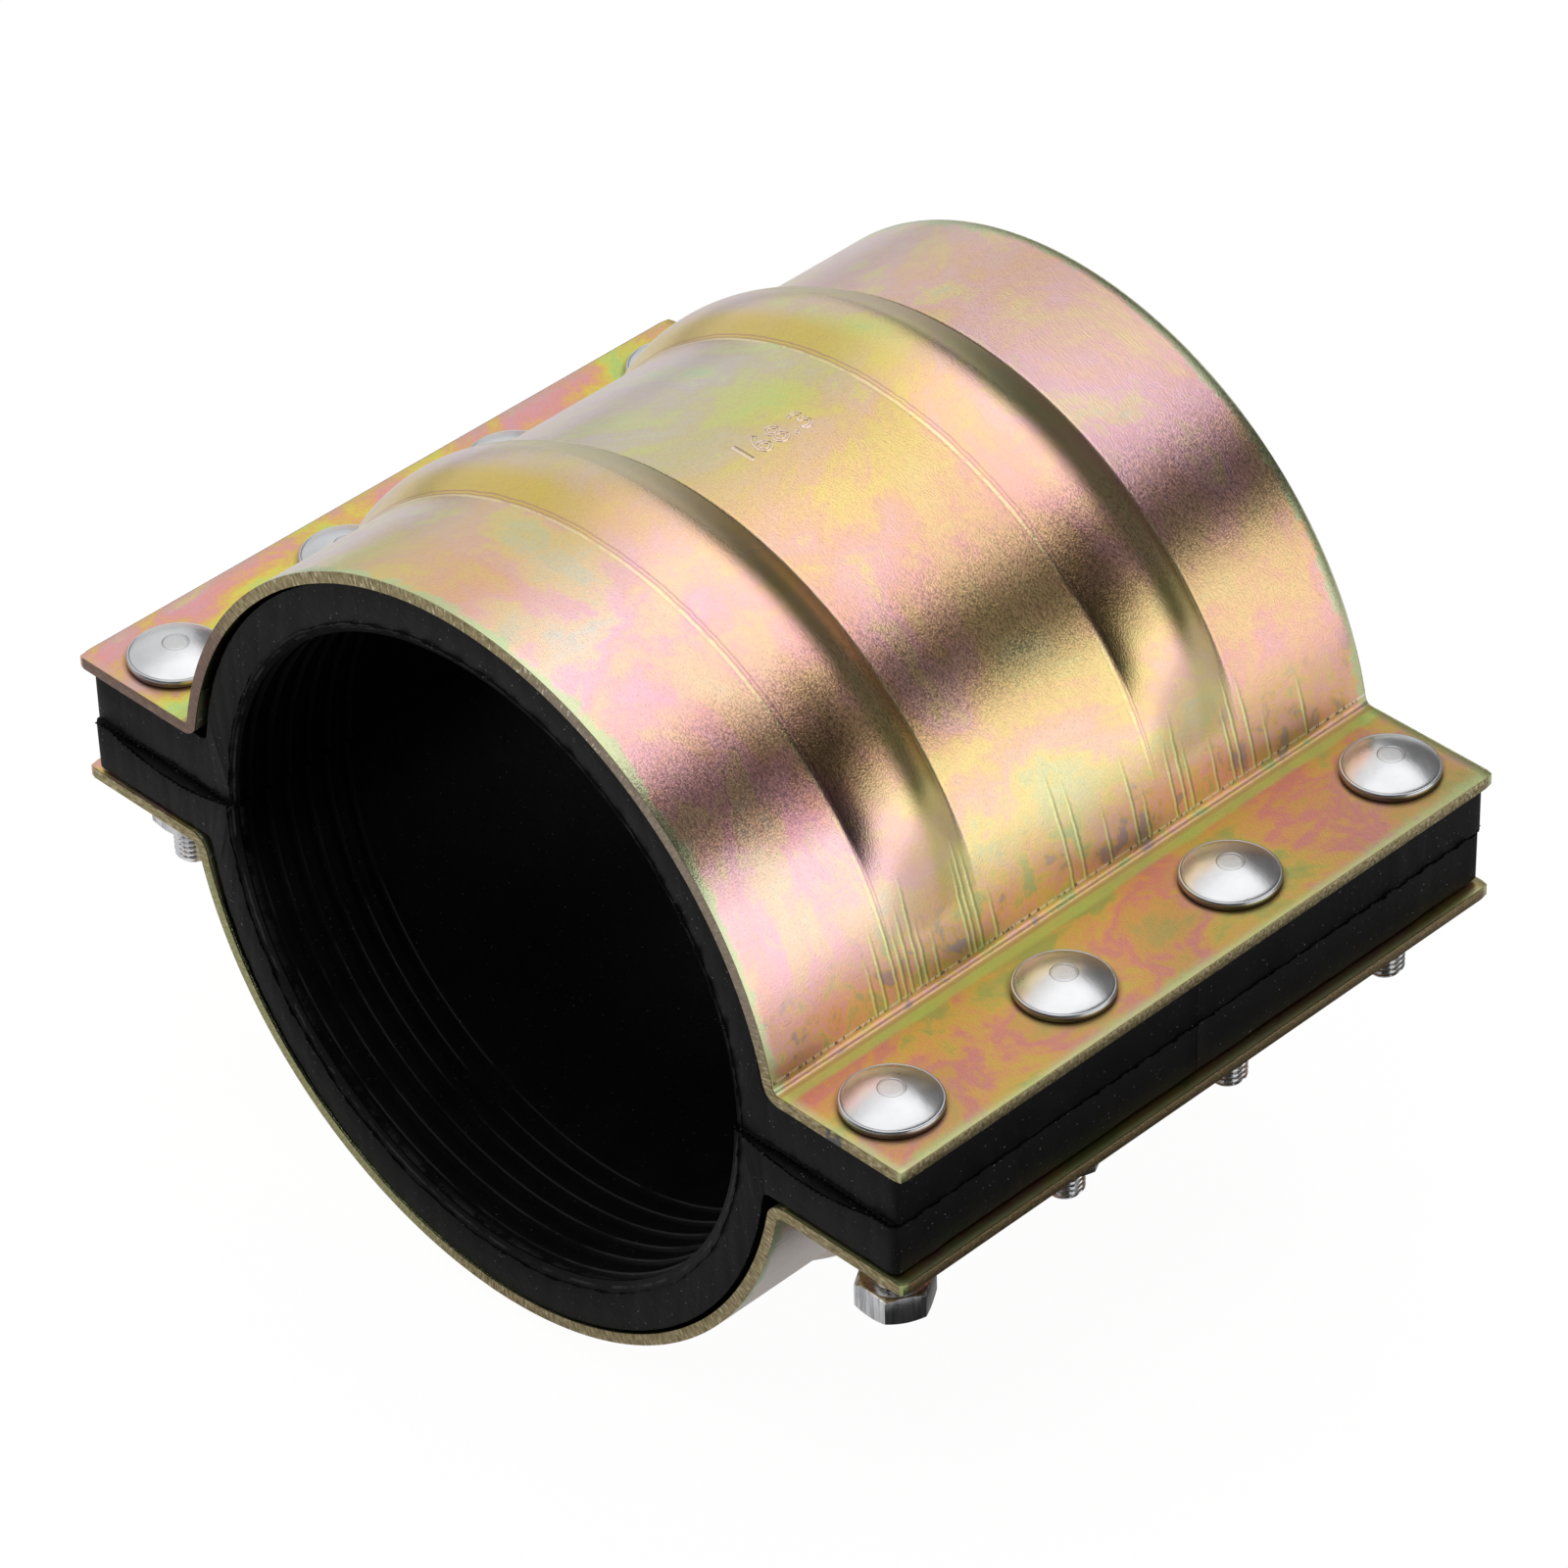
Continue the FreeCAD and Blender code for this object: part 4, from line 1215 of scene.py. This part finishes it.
def softbox(name, turn, spread, tall, brightness, lean):
    """A flat lamp on a ring round the pipe's direction. turn is its angle on the ring and spread how much of it
    the lamp fills, in degrees. lean is how far the ring lies along the pipe, and 1 of brightness is white."""
    ring = math.sqrt(1 - lean * lean)
    a = math.radians(turn)
    aim = Vector((ring * math.cos(a), lean, ring * math.sin(a)))
    along = Vector((-math.sin(a), 0, math.cos(a)))
    data = bpy.data.lights.new(name, "AREA")
    data.shape = "RECTANGLE"
    data.size, data.size_y = 2 * LAMP_DISTANCE * ring * math.tan(math.radians(spread / 2)), tall
    data.energy = brightness * math.pi * data.size * data.size_y
    lamp = bpy.data.objects.new(name, data)
    scene.collection.objects.link(lamp)
    lamp.location = aim * LAMP_DISTANCE
    lamp.rotation_mode = "QUATERNION"
    lamp.rotation_quaternion = Matrix((along, aim.cross(along), aim)).transposed().to_quaternion()


softbox("crown_softbox", 87, 50, 4.1, 1.18, -0.02)
softbox("shoulder_softbox", 120, 16, 4.1, 0.88, -0.02)
softbox("left_softbox", 153, 50, 4.3, 0.65, 0)
softbox("low_softbox", 14, 40.5, 2.35, 1.15, 0.28)

# %% Camera
azimuth, elevation, roll = math.radians(46.244), math.radians(37.712), math.radians(-1.768)
CAMERA_DISTANCE, SHIFT_RIGHT, SHIFT_DOWN = 1.77409, 1.533 * MM, 2.414 * MM
level = Vector((math.cos(azimuth), math.sin(azimuth), 0))
back = Vector((level.y * math.cos(elevation), -level.x * math.cos(elevation), math.sin(elevation)))
upright = back.cross(level)
right = level * math.cos(roll) + upright * math.sin(roll)
up = upright * math.cos(roll) - level * math.sin(roll)
camera = bpy.data.objects.new("camera", bpy.data.cameras.new("camera"))
scene.collection.objects.link(camera)
scene.camera = camera
camera.data.lens = 169.107
camera.data.sensor_width = 36
camera.data.clip_start, camera.data.clip_end = 0.1, 30
camera.rotation_mode = "QUATERNION"
camera.rotation_quaternion = Matrix((right, up, back)).transposed().to_quaternion()
camera.location = back * CAMERA_DISTANCE + right * SHIFT_RIGHT - up * SHIFT_DOWN
print("camera at", [round(c, 4) for c in camera.location])
